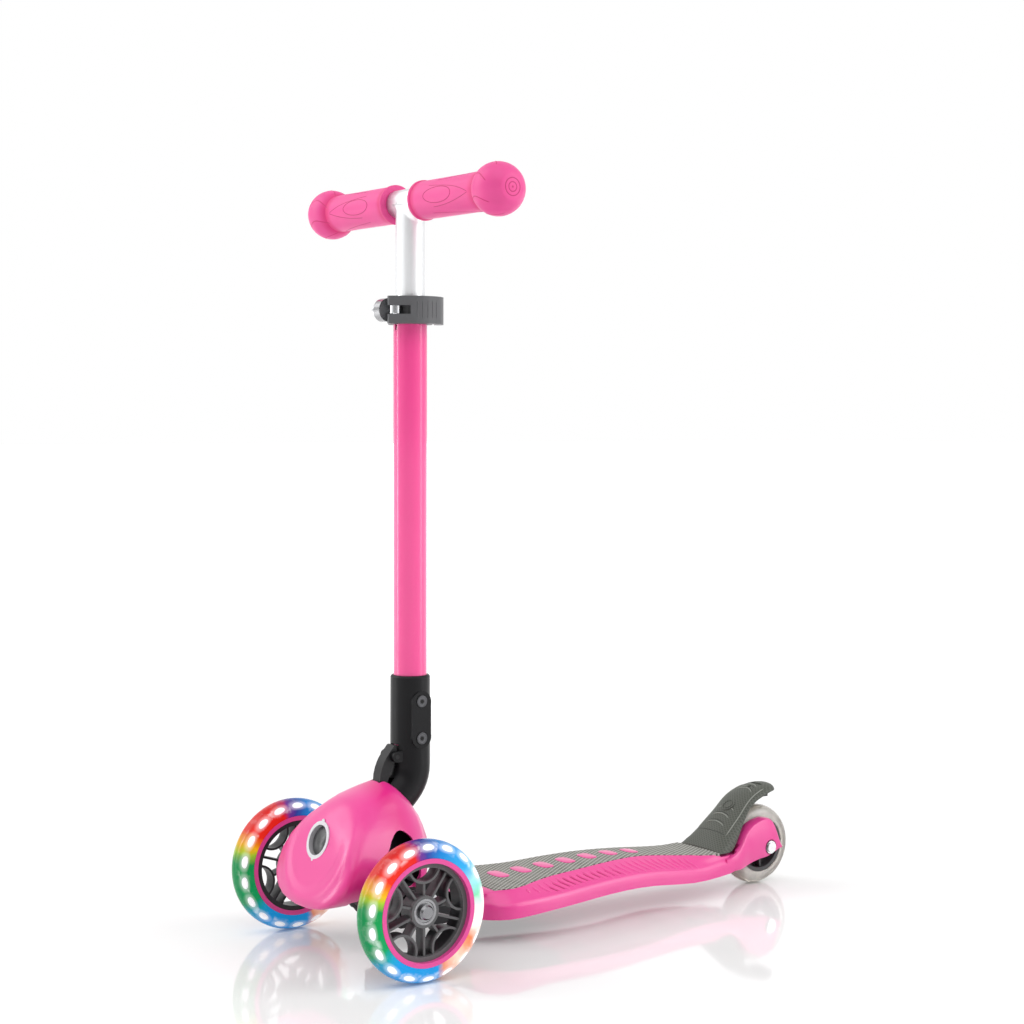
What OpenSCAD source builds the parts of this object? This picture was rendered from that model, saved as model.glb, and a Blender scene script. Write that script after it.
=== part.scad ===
// Three-wheeled folding kick scooter: lean-steered front axle, arched deck, telescopic T-bar.
// X runs to the rider's left, the front of the scooter points along -Y, Z is up, Z = 0 is the ground.

/* [Wheels and stance] */
// Outer diameter of the two front wheels
front_wheel_d = 121; // [119.4:0.2:122]
// Outer diameter of the rear wheel
rear_wheel_d = 80; // [79:0.5:81]
// Width of all three wheels
wheel_w = 24; // [23.6:0.1:24.2]
// Distance between the mid planes of the front wheels
track = 218.8; // [216:0.4:224]
// Distance from the front axle to the rear axle
wheelbase = 475.8; // [470:0.6:482]

/* [Front wheel] */
// Radius at which the tyre sits on the rim ring
tyre_seat_r = 45.8; // [45.5:0.1:46.2]
// Radius at which the rim ring sits on the spoked core
ring_seat_r = 41.7; // [41:0.1:42.2]
// Outer radius of the hub round the bearings
hub_r = 13.6; // [13.2:0.1:15]
// Thickness of the spokes and loops
spoke_t = 2; // [1.6:0.1:2.6]
// Number of loops and of straight ribs in each core
loop_count = 5; // [4:1:6]
// Number of light windows in each clear tyre
light_count = 18; // [12:1:20]
// Diameter of one light window
light_d = 10.5; // [8:0.5:11.5]
// Outer diameter of the ball bearings
bearing_d = 22; // [21:0.5:22]
// Diameter of the axle bolts
axle_d = 8; // [7.4:0.1:8.4]

/* [Deck] */
// Largest width of the deck
deck_w = 123; // [119:0.5:125]
// Wall thickness of the deck shell
deck_wall = 3; // [2.4:0.1:3.4]
// Thickness of the grip pad
grip_t = 1.6; // [1:0.1:2]
// Clear gap between the rear arms of the deck
arm_gap = 28.6; // [28.2:0.2:29.4]

/* [Fairing] */
// Largest width of the fairing
fairing_w = 123; // [120:0.5:125]
// Wall thickness of the fairing
fairing_wall = 2.6; // [2.2:0.1:3]
// Gap between the neck and the channel it folds into
channel_gap = 0.9; // [0.7:0.1:1.4]
// Outer diameter of the silver button ring
button_ring_d = 33.6; // [32:0.2:35]
// Diameter of the steering lock button
button_d = 26; // [24:0.2:26.4]

/* [Neck and folding joint] */
// Outer diameter of the neck casting
neck_d = 35.6; // [35:0.1:36]
// Height of the top rim of the neck
neck_top_z = 243.5; // [238:0.5:252]
// Diameter of the folding pivot pin
fold_pin_d = 10; // [8:0.5:12]
// Thickness of each steel hinge plate
hinge_plate_t = 4; // [3:0.1:4.2]
// Thickness of the folding lever
fold_lever_t = 12; // [9:0.5:12.4]

/* [T-bar] */
// Height of the crossbar's axis at the lowest setting
bar_z = 662.5; // [655:0.5:675]
// Overall width across the two grips
bar_w = 310; // [300:1:330]
// Outer diameter of the lower T-bar tube
outer_tube_d = 30; // [29.6:0.1:30.2]
// Wall thickness of the lower T-bar tube
outer_tube_t = 1.4; // [1.2:0.1:1.6]
// Outer diameter of the sliding T-bar tube
inner_tube_d = 25.9; // [25.4:0.1:26]
// Wall thickness of the sliding T-bar tube and the crossbar
inner_tube_t = 1.5; // [1.2:0.1:2]
// Outer diameter of the crossbar
crossbar_d = 22; // [20:0.5:24]
// Diameter of the grip bodies
grip_d = 33.5; // [30:0.5:35]
// Diameter of the ball at each grip's end
grip_ball_d = 45.5; // [43:0.5:48]
// Height of the clamp's middle
clamp_z = 567; // [560:0.5:572]
// Height of the clamp collar and of its lever
clamp_h = 24; // [22:0.5:26]

/* [Rear brake] */
// Wall thickness of the fender
fender_wall = 3; // [2.4:0.1:3.4]
// Diameter of the brake pivot pin
brake_pin_d = 5; // [4:0.5:6]

/* [Clearances] */
// Radial clearance of running fits
running_gap = 0.05; // [0.02:0.01:0.09]
// Radial clearance of pressed or bonded seats
seat_gap = 0.02; // [0.01:0.01:0.04]
// Gap between parts that pass each other
free_gap = 0.4; // [0.35:0.05:0.5]

/* [Hidden] */
$fn = 48;
front_r = front_wheel_d / 2;
rear_r = rear_wheel_d / 2;
axle_r = axle_d / 2;
stretch = wheelbase - 475.8;
// Y of the front axle when the whole scooter is centred on the origin
front_y = -(wheelbase + rear_r - front_r) / 2;
wheel_in = track / 2 - wheel_w / 2;
wheel_out = track / 2 + wheel_w / 2;
stem_y = 59.45;
lug_in = fold_lever_t / 2 + 0.6;
fold_y = 34;
fold_z = 119;
latch_y = 17;
latch_z = 135.5;
latch_d = 5;
lever_y = 39.5;
lever_z = 172;
lever_pin_d = 4;
king_tilt = 39;
king_d = 10;
brake_y = 411;
brake_z = 35;
neck_r = neck_d / 2;
outer_r = outer_tube_d / 2;
outer_bore_r = outer_r - outer_tube_t;
inner_r = inner_tube_d / 2;
cross_r = crossbar_d / 2;
clamp_lo = clamp_z - clamp_h / 2;
clamp_hi = clamp_z + clamp_h / 2;
clamp_bolt_y = 36;
clamp_pin_x = 12.3;
hub_half = neck_r + 0.6;
plate_in = hub_half + free_gap;
plate_out = plate_in + hinge_plate_t;
channel_half = neck_r + channel_gap;
// The neck's lower length runs along the line y - z = lean through the hub
lean = -91;
bend_r = 30;
bend_z = round(100 * (stem_y + (sqrt(2) - 1) * bend_r - lean)) / 100;
bend_end_y = round(1000 * (stem_y - bend_r * (1 - sqrt(0.5)))) / 1000;
bend_end_z = round(1000 * (bend_z - bend_r * sqrt(0.5))) / 1000;

// ---------- curves ----------
function find_seg(x, t, i = 0) =
    (i >= len(t) - 2 || x < t[i + 1][0]) ? i : find_seg(x, t, i + 1);
function slope_at(t, i) =
    i == 0 ? (t[1][1] - t[0][1]) / (t[1][0] - t[0][0]) :
    i == len(t) - 1 ? (t[i][1] - t[i - 1][1]) / (t[i][0] - t[i - 1][0]) :
    (t[i + 1][1] - t[i - 1][1]) / (t[i + 1][0] - t[i - 1][0]);
// Smooth curve through the control points of t, read at x
function curve(x, t) =
    let (i = find_seg(x, t), h = t[i + 1][0] - t[i][0],
         u = min(1, max(0, (x - t[i][0]) / h)),
         m0 = slope_at(t, i) * h, m1 = slope_at(t, i + 1) * h)
    (2 * u^3 - 3 * u^2 + 1) * t[i][1] + (u^3 - 2 * u^2 + u) * m0
        + (3 * u^2 - 2 * u^3) * t[i + 1][1] + (u^3 - u^2) * m1;
// Deck lengths follow the wheelbase: the front stays, the rear moves with the axle
function along(y) = y + stretch * min(1, max(0, (y - 150) / 150));

// Solid through a list of closed sections with equal point counts
module loft(sections) {
    n = len(sections[0]);
    m = len(sections);
    points = [for (s = sections) for (p = s) p];
    sides = [for (i = [0:m - 2]) for (j = [0:n - 1])
        let (a = i * n + j, b = i * n + (j + 1) % n)
        each [[a, b, b + n], [a, b + n, a + n]]];
    caps = [[for (j = [n - 1:-1:0]) j], [for (j = [0:n - 1]) (m - 1) * n + j]];
    polyhedron(points, concat(sides, caps), convexity = 8);
}

module front() {
    translate([0, front_y, 0]) children();
}

module rod_x(x0, x1, d, y = 0, z = 0) {
    translate([x0, y, z]) rotate([0, 90, 0]) cylinder(d = d, h = x1 - x0);
}

// Profile drawn in (Y, Z), as thick as x0 to x1
module plate_x(x0, x1, pts) {
    translate([x0, 0, 0]) rotate([90, 0, 90]) linear_extrude(x1 - x0) polygon(pts);
}

module king() {
    translate([0, 0, front_r]) rotate([king_tilt, 0, 0]) children();
}

module button_frame() {
    translate([0, -35.7, 105.4]) rotate([71, 0, 0]) children();
}

// ---------- deck ----------
deck_top = [[96, 40], [104, 43], [116, 46.6], [150, 48.8], [192, 50.3], [229, 51.9], [266, 52.9],
    [299, 52.3], [324, 50.3], [346, 47.8], [369, 45.4], [386, 43.9], [430, 43.2]];
deck_bottom = [[96, 21.8], [125, 23.4], [173, 25.6], [207, 26.8], [243, 28.2], [277, 28.6], [307, 27.3],
    [334, 24.4], [361, 22], [383, 21.8], [415, 23.6], [430, 25.8]];
deck_half = [[96, 12], [98.5, 22], [103, 32], [108, 40], [114, 48.5], [120, 54.5], [128, 59.3], [142, 61.5],
    [170, 60.6], [200, 57.6], [250, 51.5], [300, 47], [334, 44.5], [361, 42.3], [383, 40], [415, 36], [430, 32]];
grip_half = [[122, 42], [138, 48], [150, 47], [158, 44.5], [174, 39], [192, 34.6], [229, 31.6], [266, 27],
    [299, 22.2], [324, 21.7], [346, 23.3], [369, 26], [386, 30], [402, 32.6]];
deck_y = [96, 98.5, 103, 108, 114, 120, 128, 136, 142, 150, 160, 170, 185, 200, 215, 230, 250, 270, 288,
    306, 324, 342, 360, 378, 396, 412, 428];

// Half profile of the deck from the skirt's foot to the middle, as (x, z)
function deck_profile(y, inset) =
    let (w = curve(y, deck_half) * deck_w / 123 - inset, zt = curve(y, deck_top) - inset,
         zb = curve(y, deck_bottom) - (inset > 0 ? 8 : 0),
         g = max(w * 0.3, min(w - 8, curve(y, grip_half))), drop = min(11, (w - g) * 0.55 + 3.5))
    [[w, zb], [w + 0.25, zb + 4], [w, zt - drop - 4], [w - 0.8, zt - drop - 1.2], [w - 3, zt - drop + 1.1],
     [w - 3 - (w - 3 - g) * 0.5, zt - drop * 0.52], [g + 1.4, zt - 0.7], [g, zt - 0.1],
     [g * 0.6, zt + 0.35], [g * 0.3, zt + 0.5]];
function deck_section(y, inset, yy) =
    let (h = deck_profile(y, inset), n = len(h))
    concat([for (p = h) [p[0], along(yy), p[1]]],
           [for (i = [n - 1:-1:0]) [-h[i][0], along(yy), h[i][1]]]);

// Block that follows the deck's top line inside the grip's outline
module grip_block(side, low, high, ys) {
    loft([for (y = ys)
        let (g = curve(y, grip_half) - side, zt = curve(y, deck_top))
        [[g, along(y), zt - low], [g, along(y), zt + high - 0.1], [g * 0.6, along(y), zt + high + 0.35],
         [g * 0.3, along(y), zt + high + 0.5], [-g * 0.3, along(y), zt + high + 0.5],
         [-g * 0.6, along(y), zt + high + 0.35], [-g, along(y), zt + high - 0.1], [-g, along(y), zt - low]]]);
}
grip_y = [122.5, 126, 130, 134, 138, 142, 148, 154, 160, 168, 176, 185, 195, 207, 220, 235, 250, 265, 280, 295, 310, 324,
    338, 352, 366, 380, 392, 402];

arm_top = [[408, 37.5], [416, 38.6], [425, 42.8], [433, 49.2], [438, 55], [445, 61.6], [452, 65.8], [461, 68.9],
    [470, 70], [475, 69.3], [480.6, 64.5], [485, 55.8], [489, 46.5], [491.6, 39.6]];
arm_bottom = [[408, 26], [422, 23.8], [432, 23.6], [445, 26.2], [461.6, 29.3], [472.5, 30.2], [480.7, 33.2],
    [487, 35.4], [491.6, 37.6]];
arm_out = [[408, 36.6], [415, 35.8], [430, 33.6], [445, 29.2], [460, 27.6], [475, 26.6], [492, 26]];
arm_y = [408, 414, 420, 425, 430, 434, 438, 442, 446, 452, 458, 464, 470, 475, 479, 482.5, 486, 489, 491.6];

module deck_arm(side) {
    loft([for (y = arm_y)
        let (zt = curve(y, arm_top), zb = curve(y, arm_bottom), xo = curve(y, arm_out) * deck_w / 123,
             xi = max(arm_gap / 2, 33 - (y - 408) * 0.9), c = min(3.2, (zt - zb) * 0.35, (xo - xi) * 0.35),
             h = [[xi, zb], [xo - c, zb], [xo - c * 0.3, zb + c * 0.3], [xo, zb + c], [xo, zt - c * 1.3],
                  [xo - c * 0.3, zt - c * 0.35], [xo - c, zt], [xi + 0.6, zt], [xi, zt - 0.6]])
        [for (p = side > 0 ? h : [for (i = [len(h) - 1:-1:0]) h[i]]) [side * p[0], along(y), p[1]]]]);
}

module deck_ribs() {
    translate([-deck_w / 2, 148.8, 38.4]) cube([deck_w, 2.4, 9]);
    for (y = [206, 262, 318, 372])
        translate([-deck_w / 2, along(y) - 1.2, curve(y, deck_bottom) + 2.5])
            cube([deck_w, 2.4, 22]);
    for (s = [-1, 1])
        translate([s * 21 - 1.2, 204, 30]) cube([2.4, 200, 22]);
}

module deck_shell() color("#ef4f9f") front() {
    difference() {
        union() {
            difference() {
                loft([for (y = deck_y) deck_section(y, 0, y)]);
                loft([for (y = deck_y) deck_section(y, deck_wall, y <= 96 ? 90 : (y >= 428 ? 424.5 : y))]);
            }
            intersection() {
                union() {
                    deck_ribs();
                    // Seats for the screws that hold the deck on the frame
                    for (x = [-26, 26], y = [132, 186])
                        translate([x, y, 25.05]) cylinder(d = 9, h = 23);
                    // Lugs of the brake hinge
                    for (x = [-24, -10.6, 6.4, 19.8])
                        translate([x, along(brake_y) - 7, 28]) cube([4.2, 13.5, 13.5]);
                    translate([-38, along(398), 36.6]) cube([76, 30, 3.2]);
                }
                loft([for (y = deck_y) deck_section(y, 0.5, y)]);
            }
            deck_arm(1);
            deck_arm(-1);
        }
        grip_block(-0.25, grip_t + 0.05, 8, grip_y);
        // Recess and slots for the foot of the brake
        translate([-31.8, along(402.8), 39.8]) cube([63.6, 22.2, 20]);
        translate([-28, along(424), 39.8]) cube([56, 8, 20]);
        for (x = [-19.6, 10.8])
            translate([x, along(402.8), 20]) cube([8.8, 23, 40]);
        translate([-6.1, along(403), 33]) cube([12.2, 15.4, 9]);
        rod_x(-30, 30, brake_pin_d + 2 * seat_gap, along(brake_y), brake_z);
        rod_x(-40, 40, axle_d + 2 * seat_gap, wheelbase, rear_r);
        for (s = [-1, 1])
            rod_x(min(s * 23.2, s * 40), max(s * 23.2, s * 40), 15.6, wheelbase, rear_r);
        // Room for the rear wheel
        rod_x(-arm_gap / 2, arm_gap / 2, 2 * rear_r + 9, wheelbase, rear_r);
        for (x = [-26, 26], y = [132, 186])
            translate([x, y, 20]) cylinder(d = 4 + 2 * seat_gap, h = 20);
        // Room for the frame at the nose
        translate([-32.6, 88, 10]) cube([65.2, 20.5, 32]);
    }
}

module deck_grip() color("#8f958a") front() {
    grip_block(0, grip_t, 0.3, grip_y);
}

// ---------- frame in the nose ----------
module base_frame() color("#1c1d1f") front() {
    difference() {
        union() {
            // Tray under the deck
            difference() {
                translate([0, 0, 22]) linear_extrude(15.5) polygon([[-30, 60], [-24, 34], [24, 34], [30, 60],
                    [30.4, 104], [31.6, 109], [35.6, 124], [38, 142], [38, 198], [34, 202], [-34, 202], [-38, 198],
                    [-38, 142], [-35.6, 124], [-31.6, 109], [-30.4, 104]]);
                translate([-29, 84, 25]) cube([58, 60, 30]);
                translate([-32, 148, 25]) cube([64, 50, 30]);
            }
            // Front post that carries the hinge plates
            plate_x(-plate_in, plate_in, [[23.5, 22], [84, 22], [84, 36], [70, 60], [58, 68], [46, 80], [35.5, 92],
                [32.5, 98.6], [23.5, 98.6]]);
            translate([-7, -12, 93]) cube([14, 37, 9]);
            // Fork the fairing is screwed to
            translate([-hub_half, 4, 84]) cube([2 * hub_half, 20, 7]);
            translate([-25, 4, 84]) cube([50, 14, 7]);
            for (x = [-25, 17])
                translate([x, -26, 84]) cube([8, 34, 7]);
            // Yoke round the steering hub
            king() {
                translate([0, 0, 14.4]) cylinder(r = 12, h = 6.6);
                translate([0, 0, -21]) cylinder(r = 12, h = 6.6);
                for (z = [14.4, -21])
                    translate([-11, 0, z]) cube([22, 24, 6.6]);
                translate([-11, 16.2, -21]) cube([22, 12, 42]);
                translate([-plate_in, 25.8, -9]) cube([2 * plate_in, 6, 18]);
            }
            button_frame() translate([0, 0, -29]) cylinder(r = 9, h = 12);
        }
        king() translate([0, 0, -40]) cylinder(d = king_d + 2 * running_gap, h = 80);
        // Seats of the hinge plates
        for (s = [-1, 1])
            translate([s > 0 ? plate_in : -plate_out - 0.3, 20, 31.95]) cube([hinge_plate_t + 0.3, 66, 60]);
        // Way for the nut of the kingpin
        king() translate([0, 0, 21]) cylinder(r = 12.4, h = 12);
        button_frame() translate([0, 0, -36]) cylinder(r = 5 + running_gap, h = 30);
        // Way for the hub of the neck
        rod_x(-plate_in - 1, plate_in + 1, 2 * 18.6, fold_y, fold_z);
        for (x = [-26, 26], y = [132, 186])
            translate([x, y, 10]) cylinder(d = 4 + 2 * seat_gap, h = 40);
        for (x = [-26, 26], y = [132, 186])
            translate([x, y, 10]) cylinder(d = 8.4, h = 14.4);
        for (x = [-26, 26], y = [132, 186])
            translate([x, y, 25]) cylinder(d = 9.6, h = 20);
        for (y = [34, 66], z = [44])
            rod_x(-40, 40, 6.04, y, z);
        for (x = [-21, 21])
            translate([x, 30, 87.5]) rotate([90, 0, 0]) cylinder(d = 3.04, h = 80);
        for (x = [-21, 21])
            translate([x, 30, 87.5]) rotate([90, 0, 0]) cylinder(d = 6.4, h = 30);
    }
}

module fairing_screws() color("#8d9094") front() {
    for (x = [-21, 21])
        translate([x, 0, 87.5]) rotate([90, 0, 0]) {
            translate([0, 0, 0.05]) cylinder(d = 3, h = 36);
            translate([0, 0, -2]) cylinder(d = 6, h = 1.95);
            translate([0, 0, -1]) cylinder(d = 3, h = 2);
        }
}

module kingpin() color("#b9bcc0") front() king() {
    translate([0, 0, -27]) cylinder(r = 8, h = 5.9, $fn = 6);
    translate([0, 0, -21.2]) cylinder(d = king_d, h = 52);
    translate([0, 0, 24.2]) cylinder(r = 8, h = 6, $fn = 6);
}

module kingpin_bush() color("#101010") front() king() {
    difference() {
        translate([0, 0, 21.05]) cylinder(r = 8.6, h = 3.1);
        translate([0, 0, 20]) cylinder(d = king_d + 2 * seat_gap, h = 6);
    }
}

module steer_stops() color("#2a2a2a") front() king() {
    for (s = [-1, 1])
        translate([s * 15.4 - 3, 21.6, -4.6]) cube([6, 4.15, 9.6]);
}

module frame_bolts() color("#8d9094") front() {
    for (y = [34, 66]) {
        rod_x(-plate_out - 4, plate_out + 4, 6, y, 44);
        rod_x(-plate_out - 4, -plate_out - 0.05, 10, y, 44);
        rod_x(plate_out + 0.05, plate_out + 4, 10, y, 44);
    }
}

module fold_bracket() color("#26282a") front() {
    for (s = [-1, 1])
        difference() {
            plate_x(s > 0 ? plate_in : -plate_out, s > 0 ? plate_out : -plate_in,
                [[25.5, 32], [78, 32], [76, 48], [60, 62], [53, 78], [50.5, 92], [48.6, 106], [45.6, 116],
                 [40, 125.4], [33, 131.6], [26, 136.2], [20, 139.4], [14.6, 139], [12, 136], [12.4, 131], [16, 122],
                 [19.6, 108], [24.4, 84]]);
            rod_x(-40, 40, fold_pin_d + 2 * seat_gap, fold_y, fold_z);
            rod_x(-40, 40, latch_d + 2 * seat_gap, latch_y, latch_z);
            for (y = [34, 66])
                rod_x(-40, 40, 6.04, y, 44);
        }
}

module latch_bar() color("#b9bcc0") front() {
    rod_x(-plate_out, plate_out, latch_d, latch_y, latch_z);
}

module fold_pin() color("#a9acb0") front() {
    rod_x(-plate_out - 3.5, plate_out + 3.5, fold_pin_d, fold_y, fold_z);
    rod_x(plate_out + 0.05, plate_out + 3.5, 16, fold_y, fold_z);
    rod_x(-plate_out - 3.5, -plate_out - 0.05, 16, fold_y, fold_z);
}

module deck_screws() color("#8d9094") front() {
    for (x = [-26, 26], y = [132, 186]) {
        translate([x, y, 22.4]) cylinder(d = 8, h = 2);
        translate([x, y, 24]) cylinder(d = 4, h = 13);
    }
}

// ---------- fairing ----------
fair_z = [50, 51.6, 54.5, 59, 64.5, 71, 79, 90, 103, 113, 121, 128, 134, 139, 143, 146, 148.6, 150.6, 152];
fair_half = [[50, 18], [51.6, 29], [54.5, 38.5], [59, 47.5], [64.5, 54.6], [71, 59.6], [79, 61.5], [85, 61.4],
    [93, 59.8], [105, 55], [113, 51], [121, 45.4], [128, 38.6], [134, 33.6], [139, 29.4], [143, 24.8], [146, 20.4],
    [148.6, 14.8], [150.6, 9.6], [152, 5.4]];
fair_front = [[50, -53], [54, -54.2], [63.5, -52], [79, -46], [93, -40.8], [105, -35.8], [113, -33], [121, -30],
    [128, -24.8], [134, -18.4], [139, -11], [143, -1.4], [146, 8], [148.6, 15.6], [150.6, 20.6], [152, 23.4]];
fair_rear = [[50, 52], [60, 58], [77, 61], [93, 61], [102.5, 61], [111, 58.5], [119, 56], [127, 52], [134, 47.6],
    [140, 42], [145.5, 36.4], [149.5, 31.6], [152, 27.4]];
fair_depth = [[50, 13], [93, 13], [105, 15], [113, 20], [121, 25], [128, 28], [137, 30], [141, 27], [144.4, 23],
    [147.2, 16], [150, 8], [152, 3]];
fair_pow = [[50, 4.6], [93, 4.6], [105, 4], [113, 3.1], [121, 2.6], [128, 2.4], [139, 2.15], [144, 2], [152, 2]];

// Level section: a flat nose that turns into the sides over the given depth, then an oval tail
function fair_section(z, t, zz) =
    let (w = max(1, curve(z, fair_half) * fairing_w / 123 - t), yf = curve(z, fair_front) + t,
         yr = max(curve(z, fair_rear) - t, yf + 1), d = min(curve(z, fair_depth), (yr - yf) * 0.6),
         p = curve(z, fair_pow), xr = w * 0.3, q = 2.2,
         half = concat(
            [for (a = [14, 28, 40, 50, 60, 70, 80, 90])
                [w * pow(sin(a), 2 / p), yf + d * (1 - (a == 90 ? 0 : pow(cos(a), 2 / p)))]],
            [for (a = [18:18:72])
                [xr + (w - xr) * pow(cos(a), 2 / q), yf + d + (yr - yf - d) * pow(sin(a), 2 / q)]],
            [[xr, yr]]),
         n = len(half))
    concat([[0, yf, zz]], [for (p = half) [-p[0], p[1], zz]],
           [for (i = [n - 1:-1:0]) [half[i][0], half[i][1], zz]]);

arch = [[-30, 40], [-26.5, 55], [-21, 66], [-14, 78], [-7.5, 87.5], [-1.6, 95.8], [2.5, 101.3], [6.7, 107.8],
    [10.8, 112.5], [14.9, 115], [19, 115.4], [23, 114], [27, 111.3], [31.3, 107.3], [36, 99], [39.5, 88],
    [41.5, 75], [42.5, 60], [43, 40]];

module fairing() color("#ef4f9f") front() {
    t = fairing_wall;
    difference() {
        union() {
            difference() {
                loft([for (z = fair_z) fair_section(z, 0, z)]);
                loft([for (z = fair_z)
                    let (k = z < 66 ? -1 : (z < 94 ? -1 + 2 * (z - 66) / 28 : 1))
                    fair_section(z, t, z - k * t)]);
                // Open underside
                translate([-46, -30, 40]) cube([92, 100, 20]);
                // Channel the neck folds into
                plate_x(-channel_half, channel_half,
                    [[24, 115], [80, 171], [120, 171], [120, 66], [40, 66], [30, 90]]);
                translate([0, bend_end_y - 21.3, bend_end_z - 21.3]) rotate([-45, 0, 0])
                    cylinder(r = channel_half + 0.4, h = 90);
                translate([-25, 40, 40]) cube([50, 60, 38]);
                // Notch for the folding lever
                translate([-lug_in - 1, 22, 138]) cube([2 * lug_in + 2, 30, 30]);
                for (s = [-1, 1])
                    plate_x(s > 0 ? 32 : -80, s > 0 ? 80 : -32, arch);
            }
            // Socket of the button
            button_frame() translate([0, 0, -12]) cylinder(d = button_ring_d + 5.6, h = 10.2);
            for (x = [-21, 21])
                translate([x, -26.05, 87.5]) rotate([90, 0, 0]) cylinder(d = 8, h = 14.4);
        }
        button_frame() translate([0, 0, -14]) cylinder(d = button_ring_d + 2 * seat_gap, h = 40);
        for (s = [-1, 1])
            button_frame() translate([0, s * button_ring_d / 2, -1.05]) cylinder(d = 4 + 2 * seat_gap, h = 20);
        for (x = [-21, 21])
            translate([x, -20, 87.5]) rotate([90, 0, 0]) cylinder(d = 3.04, h = 17);
    }
}

module button_ring() color("#d5d8dc") front() button_frame() {
    difference() {
        union() {
            translate([0, 0, -9]) cylinder(d = button_ring_d, h = 9.6);
            for (s = [-1, 1])
                translate([0, s * button_ring_d / 2, -1]) cylinder(d = 4, h = 1.6);
        }
        translate([0, 0, -10]) cylinder(d = button_d + 2 * free_gap, h = 20);
        for (s = [-1, 1])
            translate([-4, s > 0 ? button_ring_d / 2 : -button_ring_d / 2 - 6, -6]) cube([8, 6, 5.6]);
    }
}

module lock_button() color("#34373b") front() button_frame() {
    // Domed face a little below the ring
    intersection() {
        translate([0, 0, -8]) cylinder(d = button_d, h = 9);
        translate([0, 0, -31.2]) sphere(r = 30.6);
    }
    translate([0, 0, -22]) cylinder(r = 5, h = 15);
}

// ---------- front axle ----------
module axle_beam() color("#202224") front() {
    difference() {
        union() {
            king() translate([0, 0, -14]) cylinder(r = 13, h = 28);
            translate([0, 0, front_r]) {
                rod_x(-24, 24, 22);
                for (s = [-1, 1])
                    rotate([0, s * 90, 0]) {
                        translate([0, 0, 20]) cylinder(r1 = 15.2, r2 = 12.4, h = wheel_in - 33);
                        translate([0, 0, wheel_in - 14]) cylinder(r = 13.4, h = 12);
                    }
            }
        }
        king() translate([0, 0, -40]) cylinder(d = king_d + 2 * running_gap, h = 80);
        for (s = [-1, 1])
            rod_x(s > 0 ? 40 : -wheel_in, s > 0 ? wheel_in : -40, axle_d + 2 * seat_gap, 0, front_r);
    }
}

module front_axle_bolts() color("#cfd2d6") front() {
    for (s = [-1, 1])
        translate([0, 0, front_r]) rotate([0, s * 90, 0]) {
            translate([0, 0, 45]) cylinder(r = axle_r, h = wheel_in + 20 - 45);
            translate([0, 0, wheel_in + 18.15]) cylinder(r = 7, h = 2.6);
            translate([0, 0, wheel_in + 20.7]) cylinder(r1 = 6.4, r2 = 5, h = 1.6);
        }
}

module axle_washers() color("#8d9094") front() {
    for (s = [-1, 1])
        translate([0, 0, front_r]) rotate([0, s * 90, 0])
            difference() {
                translate([0, 0, wheel_in - 1.95]) cylinder(r = 6.6, h = 2.7);
                translate([0, 0, wheel_in - 3]) cylinder(r = axle_r + seat_gap, h = 6);
            }
}

module magnet_spacers() color("#6d7175") front() {
    for (s = [-1, 1])
        translate([0, 0, front_r]) rotate([0, s * 90, 0])
            difference() {
                translate([0, 0, wheel_in + 7.85]) cylinder(r = 6.2, h = 3.2);
                translate([0, 0, wheel_in + 7]) cylinder(r = axle_r + seat_gap, h = 6);
            }
}

// ---------- wheels ----------
// Puts a wheel drawn round +Z, outer face up, on one side of the front axle
module at_front_wheel(s) {
    front() translate([s * wheel_in, 0, front_r]) rotate([0, s * 90, 0]) children();
}

module ring(r_in, r_out, z0, z1) {
    translate([0, 0, z0]) difference() {
        cylinder(r = r_out, h = z1 - z0, $fn = 96);
        translate([0, 0, -1]) cylinder(r = r_in, h = z1 - z0 + 2, $fn = 96);
    }
}

function tread(r_in, r_out, w, crown) = concat(
    [[r_in, 0.4], [r_in + 0.4, 0]],
    [for (a = [-90:15:90]) [r_out - crown + crown * cos(a), w / 2 + (w / 2) * sin(a)]],
    [[r_in + 0.4, w], [r_in, w - 0.4]]);

module front_tyre(s) {
    at_front_wheel(s) difference() {
        rotate_extrude($fn = 96) polygon(tread(tyre_seat_r + seat_gap, front_r, wheel_w, 8.5));
        for (k = [0:light_count - 1])
            rotate([0, 0, k * 360 / light_count]) {
                translate([52.4, 0, wheel_w / 2 - 5.05]) cylinder(d = light_d + 0.1, h = 10.1);
                translate([44, -2.55, wheel_w / 2 - 3.05]) cube([8.4, 5.1, 6.1]);
            }
    }
}

module light_set(s) {
    at_front_wheel(s)
        for (k = [0:light_count - 1])
            rotate([0, 0, k * 360 / light_count]) {
                translate([52.4, 0, wheel_w / 2 - 5]) cylinder(d = light_d, h = 10);
                translate([tyre_seat_r + 0.1, -2.5, wheel_w / 2 - 3]) cube([6, 5, 6]);
            }
}

module rim_ring(s) {
    at_front_wheel(s) ring(ring_seat_r + seat_gap, tyre_seat_r, 0, wheel_w);
}

module front_core(s) {
    at_front_wheel(s) difference() {
        union() {
            ring(37.4, ring_seat_r, 1, wheel_w - 4.6);
            ring(bearing_d / 2 + seat_gap, hub_r, 1.2, 18);
            ring(6.9, bearing_d / 2 + 0.6, 7.9, 11);
            for (k = [0:loop_count - 1])
                rotate([0, 0, k * 360 / loop_count]) {
                    translate([hub_r - 0.8, -spoke_t / 2, 5]) cube([38 - hub_r, spoke_t, 11.6]);
                    rotate([0, 0, 180 / loop_count]) {
                        intersection() {
                            translate([39.7, 0, 0]) ring(16.2 - spoke_t, 16.2, 5, 17.4);
                            cylinder(r = 38.4, h = 30);
                        }
                        translate([hub_r - 0.8, -spoke_t / 2, 5]) cube([25.2 - hub_r, spoke_t, 11.6]);
                    }
                }
        }
        translate([0, 0, -1]) cylinder(r = 6.9, h = 30);
    }
}

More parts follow.
